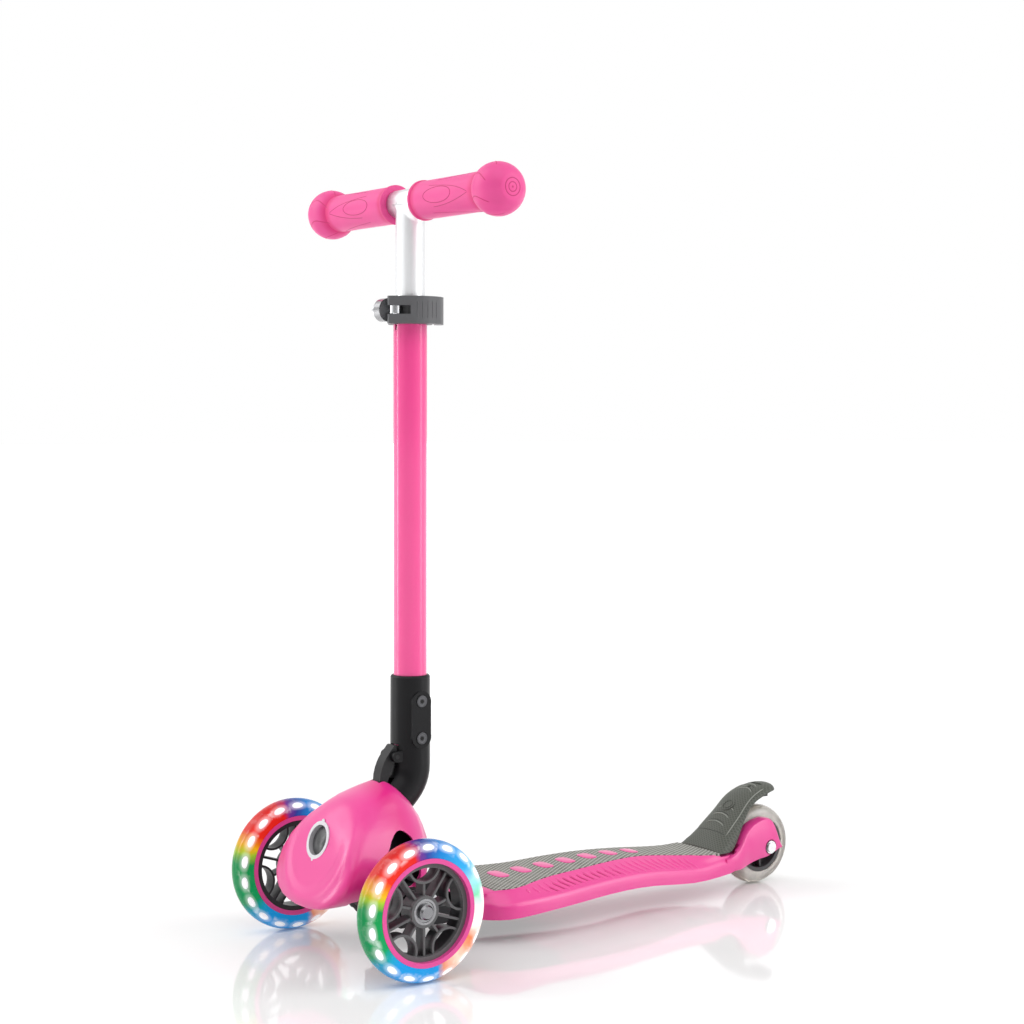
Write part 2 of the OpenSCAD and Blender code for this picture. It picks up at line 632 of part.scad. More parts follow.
module bearing_profile(z0, z1) {
    r = bearing_d / 2;
    b = axle_r + running_gap;
    translate([0, 0, z0]) rotate_extrude()
        polygon([[b, 0], [b + 2, 0], [b + 2.3, 0.5], [r - 2.3, 0.5], [r - 2, 0], [r, 0], [r, z1 - z0],
            [r - 2, z1 - z0], [r - 2.3, z1 - z0 - 0.5], [b + 2.3, z1 - z0 - 0.5], [b + 2, z1 - z0], [b, z1 - z0]]);
}

module front_bearings(s) {
    at_front_wheel(s) {
        bearing_profile(0.8, 7.8);
        bearing_profile(11.1, 18.1);
    }
}

module left_tyre() color("#e9f2f6") front_tyre(1);
module left_lights() color("#ffffff") light_set(1);
module left_rim_ring() color("#f0569f") rim_ring(1);
module left_core() color("#33363a") front_core(1);
module left_bearings() color("#b9bcc0") front_bearings(1);
module right_tyre() color("#e9f2f6") front_tyre(-1);
module right_lights() color("#ffffff") light_set(-1);
module right_rim_ring() color("#f0569f") rim_ring(-1);
module right_core() color("#33363a") front_core(-1);
module right_bearings() color("#b9bcc0") front_bearings(-1);

module at_rear_wheel() {
    front() translate([-wheel_w / 2, wheelbase, rear_r]) rotate([0, 90, 0]) children();
}

module rear_tyre() color("#efe9dd") at_rear_wheel() {
    rotate_extrude($fn = 96) polygon(tread(27.4, rear_r, wheel_w, 8));
}

module rear_core() color("#33363a") at_rear_wheel() {
    ring(23.4, 27.38, 0.8, wheel_w - 0.8);
    ring(bearing_d / 2 + seat_gap, hub_r, 3.4, wheel_w - 3.4);
    ring(6.9, bearing_d / 2 + 0.6, 10.7, wheel_w - 10.7);
    ring(hub_r - 1, 24, wheel_w / 2 - 1.2, wheel_w / 2 + 1.2);
    for (k = [0:loop_count - 1])
        rotate([0, 0, 7 + k * 360 / loop_count])
            translate([hub_r - 0.8, -1.2, 4]) cube([24.7 - hub_r, 2.4, wheel_w - 8]);
}

module rear_bearings() color("#b9bcc0") at_rear_wheel() {
    bearing_profile(3.6, 10.6);
    bearing_profile(wheel_w - 10.6, wheel_w - 3.6);
}

module rear_axle() color("#cfd2d6") front() {
    rod_x(-28, 28, axle_d, wheelbase, rear_r);
    rod_x(23.25, 27, 13, wheelbase, rear_r);
    rod_x(27, 28.6, 10.6, wheelbase, rear_r);
    rod_x(-27, -23.25, 13, wheelbase, rear_r);
}

module rear_spacers() color("#8d9094") front() {
    a = wheel_w / 2 - 3.55;
    for (x = [[a, arm_gap / 2 - 0.05], [-arm_gap / 2 + 0.05, -a], [-wheel_w / 2 + 10.65, wheel_w / 2 - 10.65]])
        difference() {
            rod_x(x[0], x[1], 12.8, wheelbase, rear_r);
            rod_x(x[0] - 1, x[1] + 1, axle_d + 2 * seat_gap, wheelbase, rear_r);
        }
}

// ---------- neck and folding joint ----------
// Ring round the neck's centre line, tipped by the bend's angle there
function neck_ring(y, z, tip, r) =
    [for (k = [0:47]) [r * cos(k * 7.5), y - r * sin(k * 7.5) * cos(tip), z + r * sin(k * 7.5) * sin(tip)]];

module neck() color("#1f2124") front() {
    difference() {
        union() {
            loft(concat(
                [neck_ring(bend_end_y - 20, bend_end_z - 20, 45, neck_r)],
                [for (a = [45:-7.5:0]) neck_ring(stem_y - bend_r * (1 - cos(a)), bend_z - bend_r * sin(a), a, neck_r)],
                [neck_ring(stem_y, neck_top_z - 1.6, 0, neck_r), neck_ring(stem_y, neck_top_z, 0, neck_r - 1.2)]));
            rod_x(-hub_half, hub_half, 33, fold_y, fold_z);
            // Raised pad under the two bolts
            translate([8, 50.2, 189]) cube([neck_r - 7.5, 19.6, 31]);
            for (z = [189, 220])
                rod_x(8, neck_r + 0.5, 20, 60, z);
            // Lugs of the folding lever
            for (s = [-1, 1]) {
                rod_x(min(s * lug_in, s * (lug_in + 4)), max(s * lug_in, s * (lug_in + 4)), 9.6, lever_y, lever_z);
                translate([s > 0 ? lug_in : -lug_in - 4, lever_y, lever_z - 4.8]) cube([4, 8, 9.6]);
            }
        }
        translate([0, stem_y, 181]) cylinder(r = outer_r + seat_gap, h = 80, $fn = 72);
        // Way for the folding lever
        translate([-lug_in, 20, lever_z - 6.4]) cube([2 * lug_in, 26, 16.8]);
        plate_x(-lug_in, lug_in, [[0, 153], [39, 153], [46, 147], [26, 124], [0, 124]]);
        rod_x(-20, 20, lever_pin_d + 2 * seat_gap, lever_y, lever_z);
        rod_x(-30, 30, fold_pin_d + 2 * running_gap, fold_y, fold_z);
        for (z = [221, 188]) {
            rod_x(15.6, 24, 11.6, 60, z);
            rod_x(-24, 24, 6.04, 60, z);
            rod_x(-24, -15.8, 10.4, 60, z);
        }
    }
}

module neck_bolts() color("#c4c7cb") front() {
    for (z = [221, 188]) {
        rod_x(-16.6, 17, 6, 60, z);
        rod_x(15.65, 18.9, 8.8, 60, z);
        rod_x(-17.4, -15.85, 9.6, 60, z);
    }
}

module fold_lever_pin() color("#b9bcc0") front() {
    rod_x(-lug_in - 4, lug_in + 4, lever_pin_d, lever_y, lever_z);
}

module fold_lever() color("#232528") front() {
    h = fold_lever_t / 2;
    difference() {
        union() {
            rod_x(-h, h, 9.6, lever_y, lever_z);
            plate_x(-h, h, [[38.9, 181.6], [36.8, 179.2], [34.4, 176.3], [30.4, 171.4], [28, 167.2], [25.9, 162],
                [24.4, 156.4], [24, 151.5], [23, 146.6], [21.6, 142], [20.4, 138.4], [20, 135.6], [20.6, 133.6],
                [22.4, 132.4], [24.6, 133.4], [26.6, 136.4], [29, 142], [31.2, 148], [33.6, 154.2], [36.2, 160.4],
                [39, 166], [42, 170], [42.6, 175], [41.4, 179.6], [40.4, 182]]);
        }
        rod_x(-20, 20, lever_pin_d + 2 * running_gap, lever_y, lever_z);
    }
}

// ---------- T-bar ----------
module outer_tube() color("#ef4f9f") front() {
    difference() {
        translate([0, stem_y, 181.05]) cylinder(r = outer_r, h = clamp_hi - 183.05, $fn = 72);
        translate([0, stem_y, 160]) cylinder(r = outer_bore_r, h = 460, $fn = 72);
        // Keyhole slit under the clamp
        translate([-1.5, stem_y - 20, clamp_z - 15.9]) cube([3, 12, 60]);
        translate([0, stem_y - 8, clamp_z - 15.9]) rotate([90, 0, 0]) cylinder(d = 3, h = 12);
        for (z = [221, 188])
            rod_x(-24, 24, 6.04, 60, z);
    }
}

module tube_sleeve() color("#d9d9d4") front() {
    difference() {
        translate([0, stem_y, clamp_hi - 46]) cylinder(r = outer_bore_r - seat_gap, h = 44, $fn = 72);
        translate([0, stem_y, clamp_hi - 50]) cylinder(r = inner_r + running_gap, h = 60, $fn = 72);
    }
}

module clamp_collar() color("#232528") front() {
    difference() {
        union() {
            translate([0, stem_y, clamp_lo]) cylinder(r = 19.5, h = clamp_h, $fn = 72);
            translate([-5, 31, clamp_lo + 2.5]) cube([10, 14, clamp_h - 5]);
            rod_x(-5, 5, clamp_h - 5, 34.5, clamp_z);
        }
        translate([0, stem_y, clamp_lo - 1]) cylinder(r = outer_r + seat_gap, h = clamp_h - 1, $fn = 72);
        translate([0, stem_y, clamp_lo - 1]) cylinder(r = inner_r + 0.6, h = clamp_h + 4, $fn = 72);
        translate([-1.2, 10, clamp_lo - 1]) cube([2.4, 36, clamp_h + 2]);
        // Flats for the washer and the cam
        rod_x(-20, -5, 16, clamp_bolt_y, clamp_z);
        rod_x(5, 20, 16, clamp_bolt_y, clamp_z);
        rod_x(-20, 20, 6.2, clamp_bolt_y, clamp_z);
    }
}

module clamp_bolt() color("#c9ccd0") front() {
    difference() {
        union() {
            rod_x(-16.4, clamp_pin_x, 6, clamp_bolt_y, clamp_z);
            translate([clamp_pin_x, clamp_bolt_y, clamp_z - 3.4]) cylinder(r = 5.2, h = 6.8);
        }
        translate([clamp_pin_x, clamp_bolt_y, clamp_z - 10]) cylinder(d = 5 + 2 * seat_gap, h = 20);
    }
}

module clamp_nut() color("#d5d8dc") front() {
    difference() {
        union() {
            rod_x(-15.5, -9.4, 14, clamp_bolt_y, clamp_z);
            rod_x(-9.4, -8.05, 15, clamp_bolt_y, clamp_z);
        }
        rod_x(-30, 0, 6 + 2 * seat_gap, clamp_bolt_y, clamp_z);
    }
}

module clamp_washer() color("#e6e6e2") front() {
    difference() {
        rod_x(-8, -5.05, 15, clamp_bolt_y, clamp_z);
        rod_x(-30, 0, 6 + 2 * seat_gap, clamp_bolt_y, clamp_z);
    }
}

module clamp_pin() color("#c9ccd0") front() {
    translate([clamp_pin_x, clamp_bolt_y, clamp_lo + 1.2]) cylinder(d = 5, h = clamp_h - 2.4);
}

module clamp_lever() color("#232528") front() {
    difference() {
        translate([0, 0, clamp_lo]) linear_extrude(clamp_h)
            // Cam, the arm that wraps round the tube, and its finger end
            polygon(concat([for (a = [80:15:275]) cam_point(a)],
                [for (a = [-46:4:70]) arm_point(a, abs(a - 54) < 13 ? 29.5 - 0.5 * cos(a * 45) : 29.8)],
                [arm_point(75, 29.6), arm_point(78, 28.4), arm_point(80, 26.6), arm_point(80.4, 25),
                 arm_point(79, 23.2), arm_point(76, 22.4)],
                [for (a = [70:-6:-38]) arm_point(a, 22)]));
        translate([clamp_pin_x, clamp_bolt_y, clamp_lo - 1]) cylinder(d = 5 + 2 * running_gap, h = clamp_h + 2);
        // Fork round the eye of the bolt
        translate([clamp_pin_x, clamp_bolt_y, clamp_z - 3.8]) cylinder(r = 15, h = 7.6);
    }
}
function cam_point(a) = [clamp_pin_x + 7 * cos(a), clamp_bolt_y + 7 * sin(a)];
function arm_point(a, r) = [r * cos(a), stem_y + r * sin(a)];

module inner_tube() color("#d5d8dc") front() {
    difference() {
        translate([0, stem_y, bar_z - 332]) cylinder(r = inner_r, h = 332, $fn = 72);
        translate([0, stem_y, bar_z - 340]) cylinder(r = inner_r - inner_tube_t, h = 360, $fn = 72);
        rod_x(-30, 30, crossbar_d + 2 * seat_gap, stem_y, bar_z);
    }
}

module tube_foot() color("#e6e6e2") front() {
    difference() {
        union() {
            translate([0, stem_y, bar_z - 336]) cylinder(r = outer_bore_r - 0.08, h = 3.9, $fn = 72);
            translate([0, stem_y, bar_z - 333]) cylinder(r = inner_r - inner_tube_t - seat_gap, h = 16, $fn = 72);
        }
        translate([0, stem_y, bar_z - 340]) cylinder(r = 8, h = 40);
    }
}

module crossbar() color("#d5d8dc") front() {
    l = bar_w / 2 - 6;
    difference() {
        rod_x(-l, l, crossbar_d, stem_y, bar_z);
        rod_x(-l - 1, l + 1, crossbar_d - 2 * inner_tube_t, stem_y, bar_z);
    }
}

module bar_grip(s) {
    e = bar_w / 2;
    b = grip_ball_d / 2;
    front() translate([0, stem_y, bar_z]) rotate([0, s * 90, 0]) difference() {
        union() {
            translate([0, 0, 21]) cylinder(r1 = grip_d / 2, r2 = grip_d / 2 + 0.9, h = 1);
            translate([0, 0, 22]) cylinder(r = grip_d / 2 + 0.9, h = 2.4);
            translate([0, 0, 24.4]) cylinder(r1 = grip_d / 2 + 0.9, r2 = grip_d / 2, h = 1.4);
            translate([0, 0, 25]) cylinder(r = grip_d / 2, h = e - b - 25);
            intersection() {
                translate([0, 0, e + 2.5 - b]) sphere(r = b, $fn = 72);
                cylinder(r = 40, h = e);
            }
        }
        translate([0, 0, 10]) cylinder(r = cross_r + seat_gap, h = e - 15.9);
    }
}

module left_grip() color("#ef4f9f") bar_grip(1);
module right_grip() color("#ef4f9f") bar_grip(-1);

// ---------- rear brake ----------
fender_top = [[403.4, 45], [406, 48.6], [410, 53.4], [415, 58.8], [421, 64.8], [428, 71.4], [435, 77.6], [441.6, 83],
    [448, 88], [455, 92.6], [462, 96], [469, 98.4], [477, 100.4], [484, 101.4], [490, 101.4], [494, 100.2], [497, 98],
    [499.4, 95.6]];
fender_edge = [[403.4, 42.4], [412, 42.4], [418, 42.8], [423, 45], [427.6, 49.4], [431.6, 54], [435.6, 59.4],
    [440, 65.6], [445.4, 73.4], [451.4, 80.8], [458, 86], [463.5, 88.6], [468, 90.2], [475, 92.6], [481, 94.2],
    [487, 94.8], [494, 94.4], [499.4, 93.4]];
fender_half = [[403.4, 30], [410, 30.6], [418, 30], [424, 28.6], [432, 26], [440, 23.4], [446, 22.2], [455, 21.2],
    [466, 20.4], [478, 19.4], [486, 17.4], [491, 14.2], [495, 10.4], [498, 6.4], [499.4, 3.4]];
fender_y = [403.4, 406, 410, 415, 420, 425, 430, 434, 438, 442, 446, 451, 456, 462, 468, 475, 482, 487, 491, 494.5,
    497.5, 499.4];

function fender_section(y, t, yy) =
    let (zt = curve(y, fender_top) - t * 1.15, ze = curve(y, fender_edge) - (t > 0 ? 6 : 0),
         w = max(1, curve(y, fender_half) - t), q = 2.2)
    concat([[w, along(yy), ze]],
        [for (a = [10:16:170])
            [w * (cos(a) >= 0 ? 1 : -1) * pow(abs(cos(a)), 2 / q), along(yy),
             curve(y, fender_edge) - (t > 0 ? 0.5 : 0) + (zt - curve(y, fender_edge) + (t > 0 ? 0.5 : 0)) * pow(sin(a), 2 / q)]],
        [[-w, along(yy), ze]]);

module brake_fender() color("#55584f") front() {
    difference() {
        union() {
            difference() {
                loft([for (y = fender_y) fender_section(y, 0, y)]);
                loft([for (y = fender_y) fender_section(y, fender_wall, y > 497 ? 496.6 + (y - 497) * 0.1 : y)]);
            }
            intersection() {
                union() {
                    // Carrier of the friction pad
                    translate([-8, along(464), 92.05]) cube([16, 26, 12]);
                    // Front wall and stiffening web
                    translate([-29, along(403.4), 42.5]) cube([58, 2.8, 12]);
                    for (s = [-1, 1])
                        translate([s * 15.2 - 1.4, along(404), 42.5]) cube([2.8, 40, 60]);
                }
                difference() {
                    loft([for (y = fender_y) fender_section(y, 0.3, y)]);
                    rod_x(-40, 40, 2 * rear_r + 16, wheelbase, rear_r);
                }
            }
            // Hinge knuckles
            for (x = [-18.6, 11.8]) {
                rod_x(x, x + 6.8, 9.6, along(brake_y), brake_z);
                translate([x, along(brake_y) - 4.8, brake_z]) cube([6.8, 9.6, 12]);
            }
        }
        rod_x(-40, 40, brake_pin_d + 2 * running_gap, along(brake_y), brake_z);
        // Slot near the tip
        translate([-5.5, along(478), 80]) cube([11, 3.4, 40]);
        for (s = [-1, 1])
            translate([s * 5.5, along(479.7), 80]) cylinder(d = 3.4, h = 40);
        translate([0, along(470), 80]) cylinder(d = 3.3, h = 20);
        // Seat of the round boss
        badge_frame() translate([0, 0, -1.55]) cylinder(r = 7.55, h = 10);
    }
}

module badge_frame() {
    translate([0, along(441.6), 82.6]) rotate([37, 0, 0]) children();
}

module brake_badge() color("#4a4d45") front() badge_frame() {
    difference() {
        translate([0, 0, -1.5]) cylinder(r = 7.5, h = 2.2);
        translate([0, 0, 0.2]) difference() {
            cylinder(r = 5.6, h = 4);
            translate([0, 0, -1]) cylinder(r = 4.6, h = 6);
        }
    }
}

module brake_pad() color("#191919") front() {
    difference() {
        translate([-8, along(464), 88]) cube([16, 24, 4]);
        translate([0, along(470), 80]) cylinder(d = 3.3, h = 20);
        translate([0, along(470), 87]) cylinder(d = 6.2, h = 2.6);
    }
}

module brake_screw() color("#8d9094") front() {
    translate([0, along(470), 88.3]) cylinder(d = 6, h = 1.28);
    translate([0, along(470), 89]) cylinder(d = 3.2, h = 7);
}

module brake_pin() color("#b9bcc0") front() {
    rod_x(-24, 24, brake_pin_d, along(brake_y), brake_z);
}

module brake_spring() color("#8d9094") front() {
    difference() {
        union() {
            for (k = [0:4])
                translate([-4 + 2 * k, along(brake_y), brake_z]) rotate([0, 90, 0]) rotate_extrude()
                    translate([brake_pin_d / 2 + 1.2, 0]) circle(r = 1.15, $fn = 24);
            translate([-4, along(brake_y), brake_z - brake_pin_d / 2 - 1.2]) rotate([90, 0, 0])
                cylinder(r = 0.9, h = 12);
        }
        rod_x(-8, 8, brake_pin_d + 2 * seat_gap, along(brake_y), brake_z);
    }
}

deck_shell();
deck_grip();
base_frame();
fairing();
button_ring();
fold_bracket();
latch_bar();
fold_pin();
frame_bolts();
kingpin();
kingpin_bush();
steer_stops();
deck_screws();
fairing_screws();
rear_axle();
rear_spacers();
brake_pin();
brake_spring();
axle_beam();
front_axle_bolts();
axle_washers();
magnet_spacers();
left_tyre();
left_lights();
left_rim_ring();
left_core();
left_bearings();
right_tyre();
right_lights();
right_rim_ring();
right_core();
right_bearings();
rear_tyre();
rear_core();
rear_bearings();
neck();
neck_bolts();
fold_lever_pin();
outer_tube();
tube_sleeve();
clamp_collar();
clamp_bolt();
clamp_nut();
clamp_washer();
clamp_pin();
fold_lever();
clamp_lever();
inner_tube();
tube_foot();
crossbar();
left_grip();
right_grip();
lock_button();
brake_fender();
brake_badge();
brake_pad();
brake_screw();
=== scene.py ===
"""Looks of the kick scooter: finishes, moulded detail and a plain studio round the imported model.

Lengths are in metres, and MM turns millimetres into them. The scooter heads towards -Y; its left is +X.
"""
import math

import bpy
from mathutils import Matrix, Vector
from mathutils.bvhtree import BVHTree


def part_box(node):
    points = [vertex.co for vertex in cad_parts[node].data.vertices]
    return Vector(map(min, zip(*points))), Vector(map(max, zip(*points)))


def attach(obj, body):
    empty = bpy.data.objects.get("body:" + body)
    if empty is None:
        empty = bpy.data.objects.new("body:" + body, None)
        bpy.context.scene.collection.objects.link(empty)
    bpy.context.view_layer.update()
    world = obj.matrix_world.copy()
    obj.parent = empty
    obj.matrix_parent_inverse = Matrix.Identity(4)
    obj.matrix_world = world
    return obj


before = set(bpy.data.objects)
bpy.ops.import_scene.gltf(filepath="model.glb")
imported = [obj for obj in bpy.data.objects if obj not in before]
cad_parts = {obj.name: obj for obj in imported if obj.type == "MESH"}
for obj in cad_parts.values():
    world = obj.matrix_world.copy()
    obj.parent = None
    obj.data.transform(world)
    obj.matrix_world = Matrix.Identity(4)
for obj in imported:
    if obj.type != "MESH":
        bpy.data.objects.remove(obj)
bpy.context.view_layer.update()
scene = bpy.context.scene
MM = 0.001


def centre_of(node):
    low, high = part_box(node)
    return (low + high) / 2


def size_of(node):
    low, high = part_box(node)
    return high - low


# ---------------------------------------------------------------- camera

LENS_MM, SENSOR_MM = 69.94, 36
CAMERA_PLACE = Vector((1.48973, -1.12990, 0.47240))
CAMERA_AZIMUTH = math.radians(54.23)
CAMERA_PITCH = math.radians(2.7)
CAMERA_ROLL = math.radians(-0.15)
CLIP_NEAR, CLIP_FAR = 0.05, 60


def add_camera():
    data = bpy.data.cameras.new("camera")
    data.lens, data.sensor_width = LENS_MM, SENSOR_MM
    data.clip_start, data.clip_end = CLIP_NEAR, CLIP_FAR
    camera = bpy.data.objects.new("camera", data)
    scene.collection.objects.link(camera)
    camera.rotation_mode = "XYZ"
    camera.location = CAMERA_PLACE
    camera.rotation_euler = (math.pi / 2 - CAMERA_PITCH, CAMERA_ROLL, CAMERA_AZIMUTH)
    scene.camera = camera


add_camera()

# ---------------------------------------------------------------- node helpers


class Nodes:
    """A node tree, with short names for the nodes that the materials and the world are made of."""

    def __init__(self, tree):
        self.tree = tree

    def node(self, kind, **settings):
        made = self.tree.nodes.new(kind)
        for key, value in settings.items():
            setattr(made, key, value)
        return made

    def link(self, source, target):
        self.tree.links.new(source, target)

    def math(self, operation, *values):
        made = self.node("ShaderNodeMath", operation=operation)
        for k, value in enumerate(values):
            if isinstance(value, (int, float)):
                made.inputs[k].default_value = value
            else:
                self.link(value, made.inputs[k])
        return made.outputs[0]

    def invert(self, value):
        return self.math("SUBTRACT", 1, value)

    def length(self, *parts):
        """Square root of the sum of the squares"""
        squares = [self.math("MULTIPLY", part, part) for part in parts]
        total = squares[-1]
        for square in reversed(squares[:-1]):
            total = self.math("ADD", square, total)
        return self.math("SQRT", total)

    def step(self, value, start, end, low=0.0, high=1.0):
        """low before start, high beyond end, smooth between them"""
        made = self.node("ShaderNodeMapRange", interpolation_type="SMOOTHSTEP")
        self.link(value, made.inputs["Value"])
        for socket, number in (("From Min", start), ("From Max", end), ("To Min", low), ("To Max", high)):
            made.inputs[socket].default_value = number
        return made.outputs[0]

    def near(self, value, place, width):
        """1 at place, fading to 0 at width from it"""
        off = self.math("ABSOLUTE", self.math("SUBTRACT", value, place))
        return self.invert(self.step(off, 0, width))


class Shader(Nodes):
    """A Principled material built node by node."""

    def __init__(self, name, colour, roughness, metallic=0.0, **sockets):
        self.material = bpy.data.materials.new(name)
        self.material.use_nodes = True
        super().__init__(self.material.node_tree)
        self.main = self.tree.nodes["Principled BSDF"]
        self.set("Base Color", (*colour, 1))
        self.set("Roughness", roughness)
        self.set("Metallic", metallic)
        for socket, value in sockets.items():
            self.set(socket.replace("_", " ").title().replace("Ior", "IOR"), value)
        self.roughness = roughness
        self.coords = self.node("ShaderNodeTexCoord").outputs["Object"]
        self.height = None

    def set(self, socket, value):
        self.main.inputs[socket].default_value = value

    def axis(self, name, offset=0.0):
        split = self.node("ShaderNodeSeparateXYZ")
        self.link(self.coords, split.inputs[0])
        return self.math("SUBTRACT", split.outputs[name], offset)

    def noise(self, size_mm, detail=3.0, stretch=(1, 1, 1)):
        """Noise whose features are about size_mm across, longer along the stretched axes."""
        place = self.node("ShaderNodeMapping")
        place.inputs["Scale"].default_value = [1 / (size_mm * MM * s) for s in stretch]
        self.link(self.coords, place.inputs["Vector"])
        made = self.node("ShaderNodeTexNoise")
        made.inputs["Scale"].default_value = 1.0
        made.inputs["Detail"].default_value = detail
        self.link(place.outputs[0], made.inputs["Vector"])
        return made.outputs["Fac"]

    def span(self, value, low, high):
        """value's 0..1 turned into low..high"""
        made = self.node("ShaderNodeMapRange")
        self.link(value, made.inputs["Value"])
        made.inputs["To Min"].default_value = low
        made.inputs["To Max"].default_value = high
        return made.outputs[0]

    def ramp(self, value, stops):
        made = self.node("ShaderNodeValToRGB")
        marks = made.color_ramp.elements
        marks.remove(marks[1])
        marks[0].position, marks[0].color = stops[0][0], (*stops[0][1], 1)
        for place, colour in stops[1:]:
            marks.new(place).color = (*colour, 1)
        self.link(value, made.inputs[0])
        return made.outputs["Color"]

    def mix(self, amount, one, two):
        """one at amount 0, two at amount 1; each is a socket or a plain value"""
        made = self.node("ShaderNodeMix", data_type="RGBA")
        for socket, value in ((made.inputs[0], amount), (made.inputs[6], one), (made.inputs[7], two)):
            if isinstance(value, tuple):
                socket.default_value = (*value, 1)
            elif isinstance(value, (int, float)):
                socket.default_value = value
            else:
                self.link(value, socket)
        return made.outputs[2]

    def drift(self, colour, size_mm, low, high, detail=2):
        """The colour, wandering slowly between low and high times itself"""
        return self.mix(self.noise(size_mm, detail), scaled(colour, low), scaled(colour, high))

    def paint(self, colour):
        self.link(colour, self.main.inputs["Base Color"])

    def vary_roughness(self, value, spread):
        rough = self.span(value, self.roughness - spread, self.roughness + spread)
        self.link(rough, self.main.inputs["Roughness"])

    def raise_by(self, value, depth_mm):
        """Adds value (0..1) times depth to the bump."""
        part = self.math("MULTIPLY", value, depth_mm * MM)
        self.height = part if self.height is None else self.math("ADD", self.height, part)

    def done(self, strength=1.0):
        if self.height is not None:
            bump = self.node("ShaderNodeBump")
            bump.inputs["Strength"].default_value = strength
            bump.inputs["Distance"].default_value = 1.0
            self.link(self.height, bump.inputs["Height"])
            self.link(bump.outputs[0], self.main.inputs["Normal"])
        return self.material


def scaled(colour, factor):
    return tuple(c * factor for c in colour)


def moulded(name, colour, roughness, grain_mm=0.9, grain_depth=0.02, mottle=0.06, gloss_spread=0.02,
            **sockets):
    """Injection-moulded plastic: fine spark grain, slow colour drift, slightly uneven gloss."""
    s = Shader(name, colour, roughness, **sockets)
    s.paint(s.drift(colour, 42, 1 - mottle, 1 + mottle))
    s.vary_roughness(s.noise(30, 2), gloss_spread)
    s.raise_by(s.noise(grain_mm, 2), grain_depth)
    return s


def metal(name, colour, roughness, along=(1, 1, 1), depth=0.006, **sockets):
    """Drawn or plated metal with fine lines along one axis."""
    s = Shader(name, colour, roughness, 1.0, **sockets)
    lines = s.noise(0.5, 3, along)
    s.paint(s.mix(lines, scaled(colour, 0.93), scaled(colour, 1.04)))
    s.vary_roughness(lines, min(0.08, roughness * 0.4))
    s.raise_by(lines, depth)
    return s


# ---------------------------------------------------------------- finishes

PINK = (0.80, 0.052, 0.30)
# Deeper pink, painted as shade in a band on the fairing outside the crest
PINK_PAINTED_SHADE = (0.74, 0.012, 0.22)
PINK_TUBE = (0.88, 0.050, 0.28)
PINK_GRIP = (0.80, 0.075, 0.30)
# Deeper grip pink, painted as shade in the grip's dips
GRIP_DIP_SHADE = (0.68, 0.008, 0.14)
# Dark grip pink, painted as shade in the grip's moulded lines and sunk marks
GRIP_LINE_SHADE = (0.50, 0.012, 0.13)
OLIVE = (0.070, 0.075, 0.063)
# Painted shade in the depth of a front wheel's core
CORE_DEPTH_SHADE = (0.022, 0.022, 0.024)
CORE_LIGHT = (0.115, 0.115, 0.118)
SILVER = (0.78, 0.79, 0.80)


def shell_pink():
    """The deck, its ribs and the pads on its mat: glossy pink."""
    s = moulded("pink_shell", PINK, 0.30, grain_depth=0.006, mottle=0.03,
                coat_weight=0.25, coat_roughness=0.14)
    return s.done(0.6)


# The crest round the lock button and the band of painted shade outside it, both by distance from the
# crest's middle
CREST_RADIUS, CREST_WIDTH, CREST_HEIGHT_MM = 46 * MM, 11 * MM, 1.5
CREST_DROP = 6 * MM
CREST_FULL_TO, CREST_GONE_FROM = 12 * MM, 45 * MM
SHADE_BAND_RADIUS, SHADE_BAND_WIDTH, SHADE_BAND_STRENGTH = 71 * MM, 17 * MM, 0.92


def fairing_pink():
    """Deck pink with a soft crest round the lock button and a band of painted shade outside it."""
    s = moulded("pink_fairing", PINK, 0.32, grain_depth=0.004, mottle=0.03,
                coat_weight=0.25, coat_roughness=0.16)
    button = centre_of("button_ring")
    reach = s.length(s.axis("X", button.x), s.axis("Y", button.y), s.axis("Z", button.z - CREST_DROP))
    low_side = s.invert(s.step(s.axis("Z", button.z), CREST_FULL_TO, CREST_GONE_FROM))
    s.raise_by(s.math("MULTIPLY", s.near(reach, CREST_RADIUS, CREST_WIDTH), low_side), CREST_HEIGHT_MM)
    # Painted shade: deeper pink mixed in along a band outside the crest
    shade_band = s.math("MULTIPLY", s.near(reach, SHADE_BAND_RADIUS, SHADE_BAND_WIDTH), SHADE_BAND_STRENGTH)
    s.paint(s.mix(shade_band, s.drift(PINK, 42, 0.97, 1.03), PINK_PAINTED_SHADE))
    return s.done(1.0)


# Glow of a front tyre by angle from straight back, in turns, through the top
GLOW = [(0.00, (0.80, 0.95, 0.84)), (0.035, (0.22, 0.70, 0.42)), (0.075, (0.35, 0.72, 0.90)),
        (0.125, (0.03, 0.36, 0.72)), (0.215, (0.01, 0.20, 0.56)), (0.255, (0.03, 0.05, 0.30)),
        (0.275, (0.14, 0.03, 0.25)), (0.300, (0.66, 0.015, 0.01)), (0.395, (0.72, 0.025, 0.01)),
        (0.430, (0.80, 0.42, 0.01)), (0.450, (0.34, 0.52, 0.03)), (0.475, (0.003, 0.27, 0.06)),
        (0.585, (0.00, 0.30, 0.09)), (0.615, (0.005, 0.32, 0.50)), (0.650, (0.005, 0.28, 0.66)),
        (0.780, (0.01, 0.27, 0.64)), (0.800, (0.72, 0.26, 0.15)), (0.850, (0.93, 0.64, 0.50)),
        (0.905, (0.80, 0.20, 0.07)), (0.950, (0.93, 0.88, 0.80))]
GLOW_WHITE, GLOW_RIM = (0.97, 0.98, 1.0), (0.0, 0.01, 0.03)
GLOW_STRENGTH = 0.30
LAMP_COUNT = 18
LAMP_LONG, LAMP_TALL = 6.3 * MM, 2.6 * MM
LAMP_INSET = 2.2 * MM
HALO, STREAK, RIM_SHADE, RIM_TINT = 0.30, 0.45, 0.6, 0.45


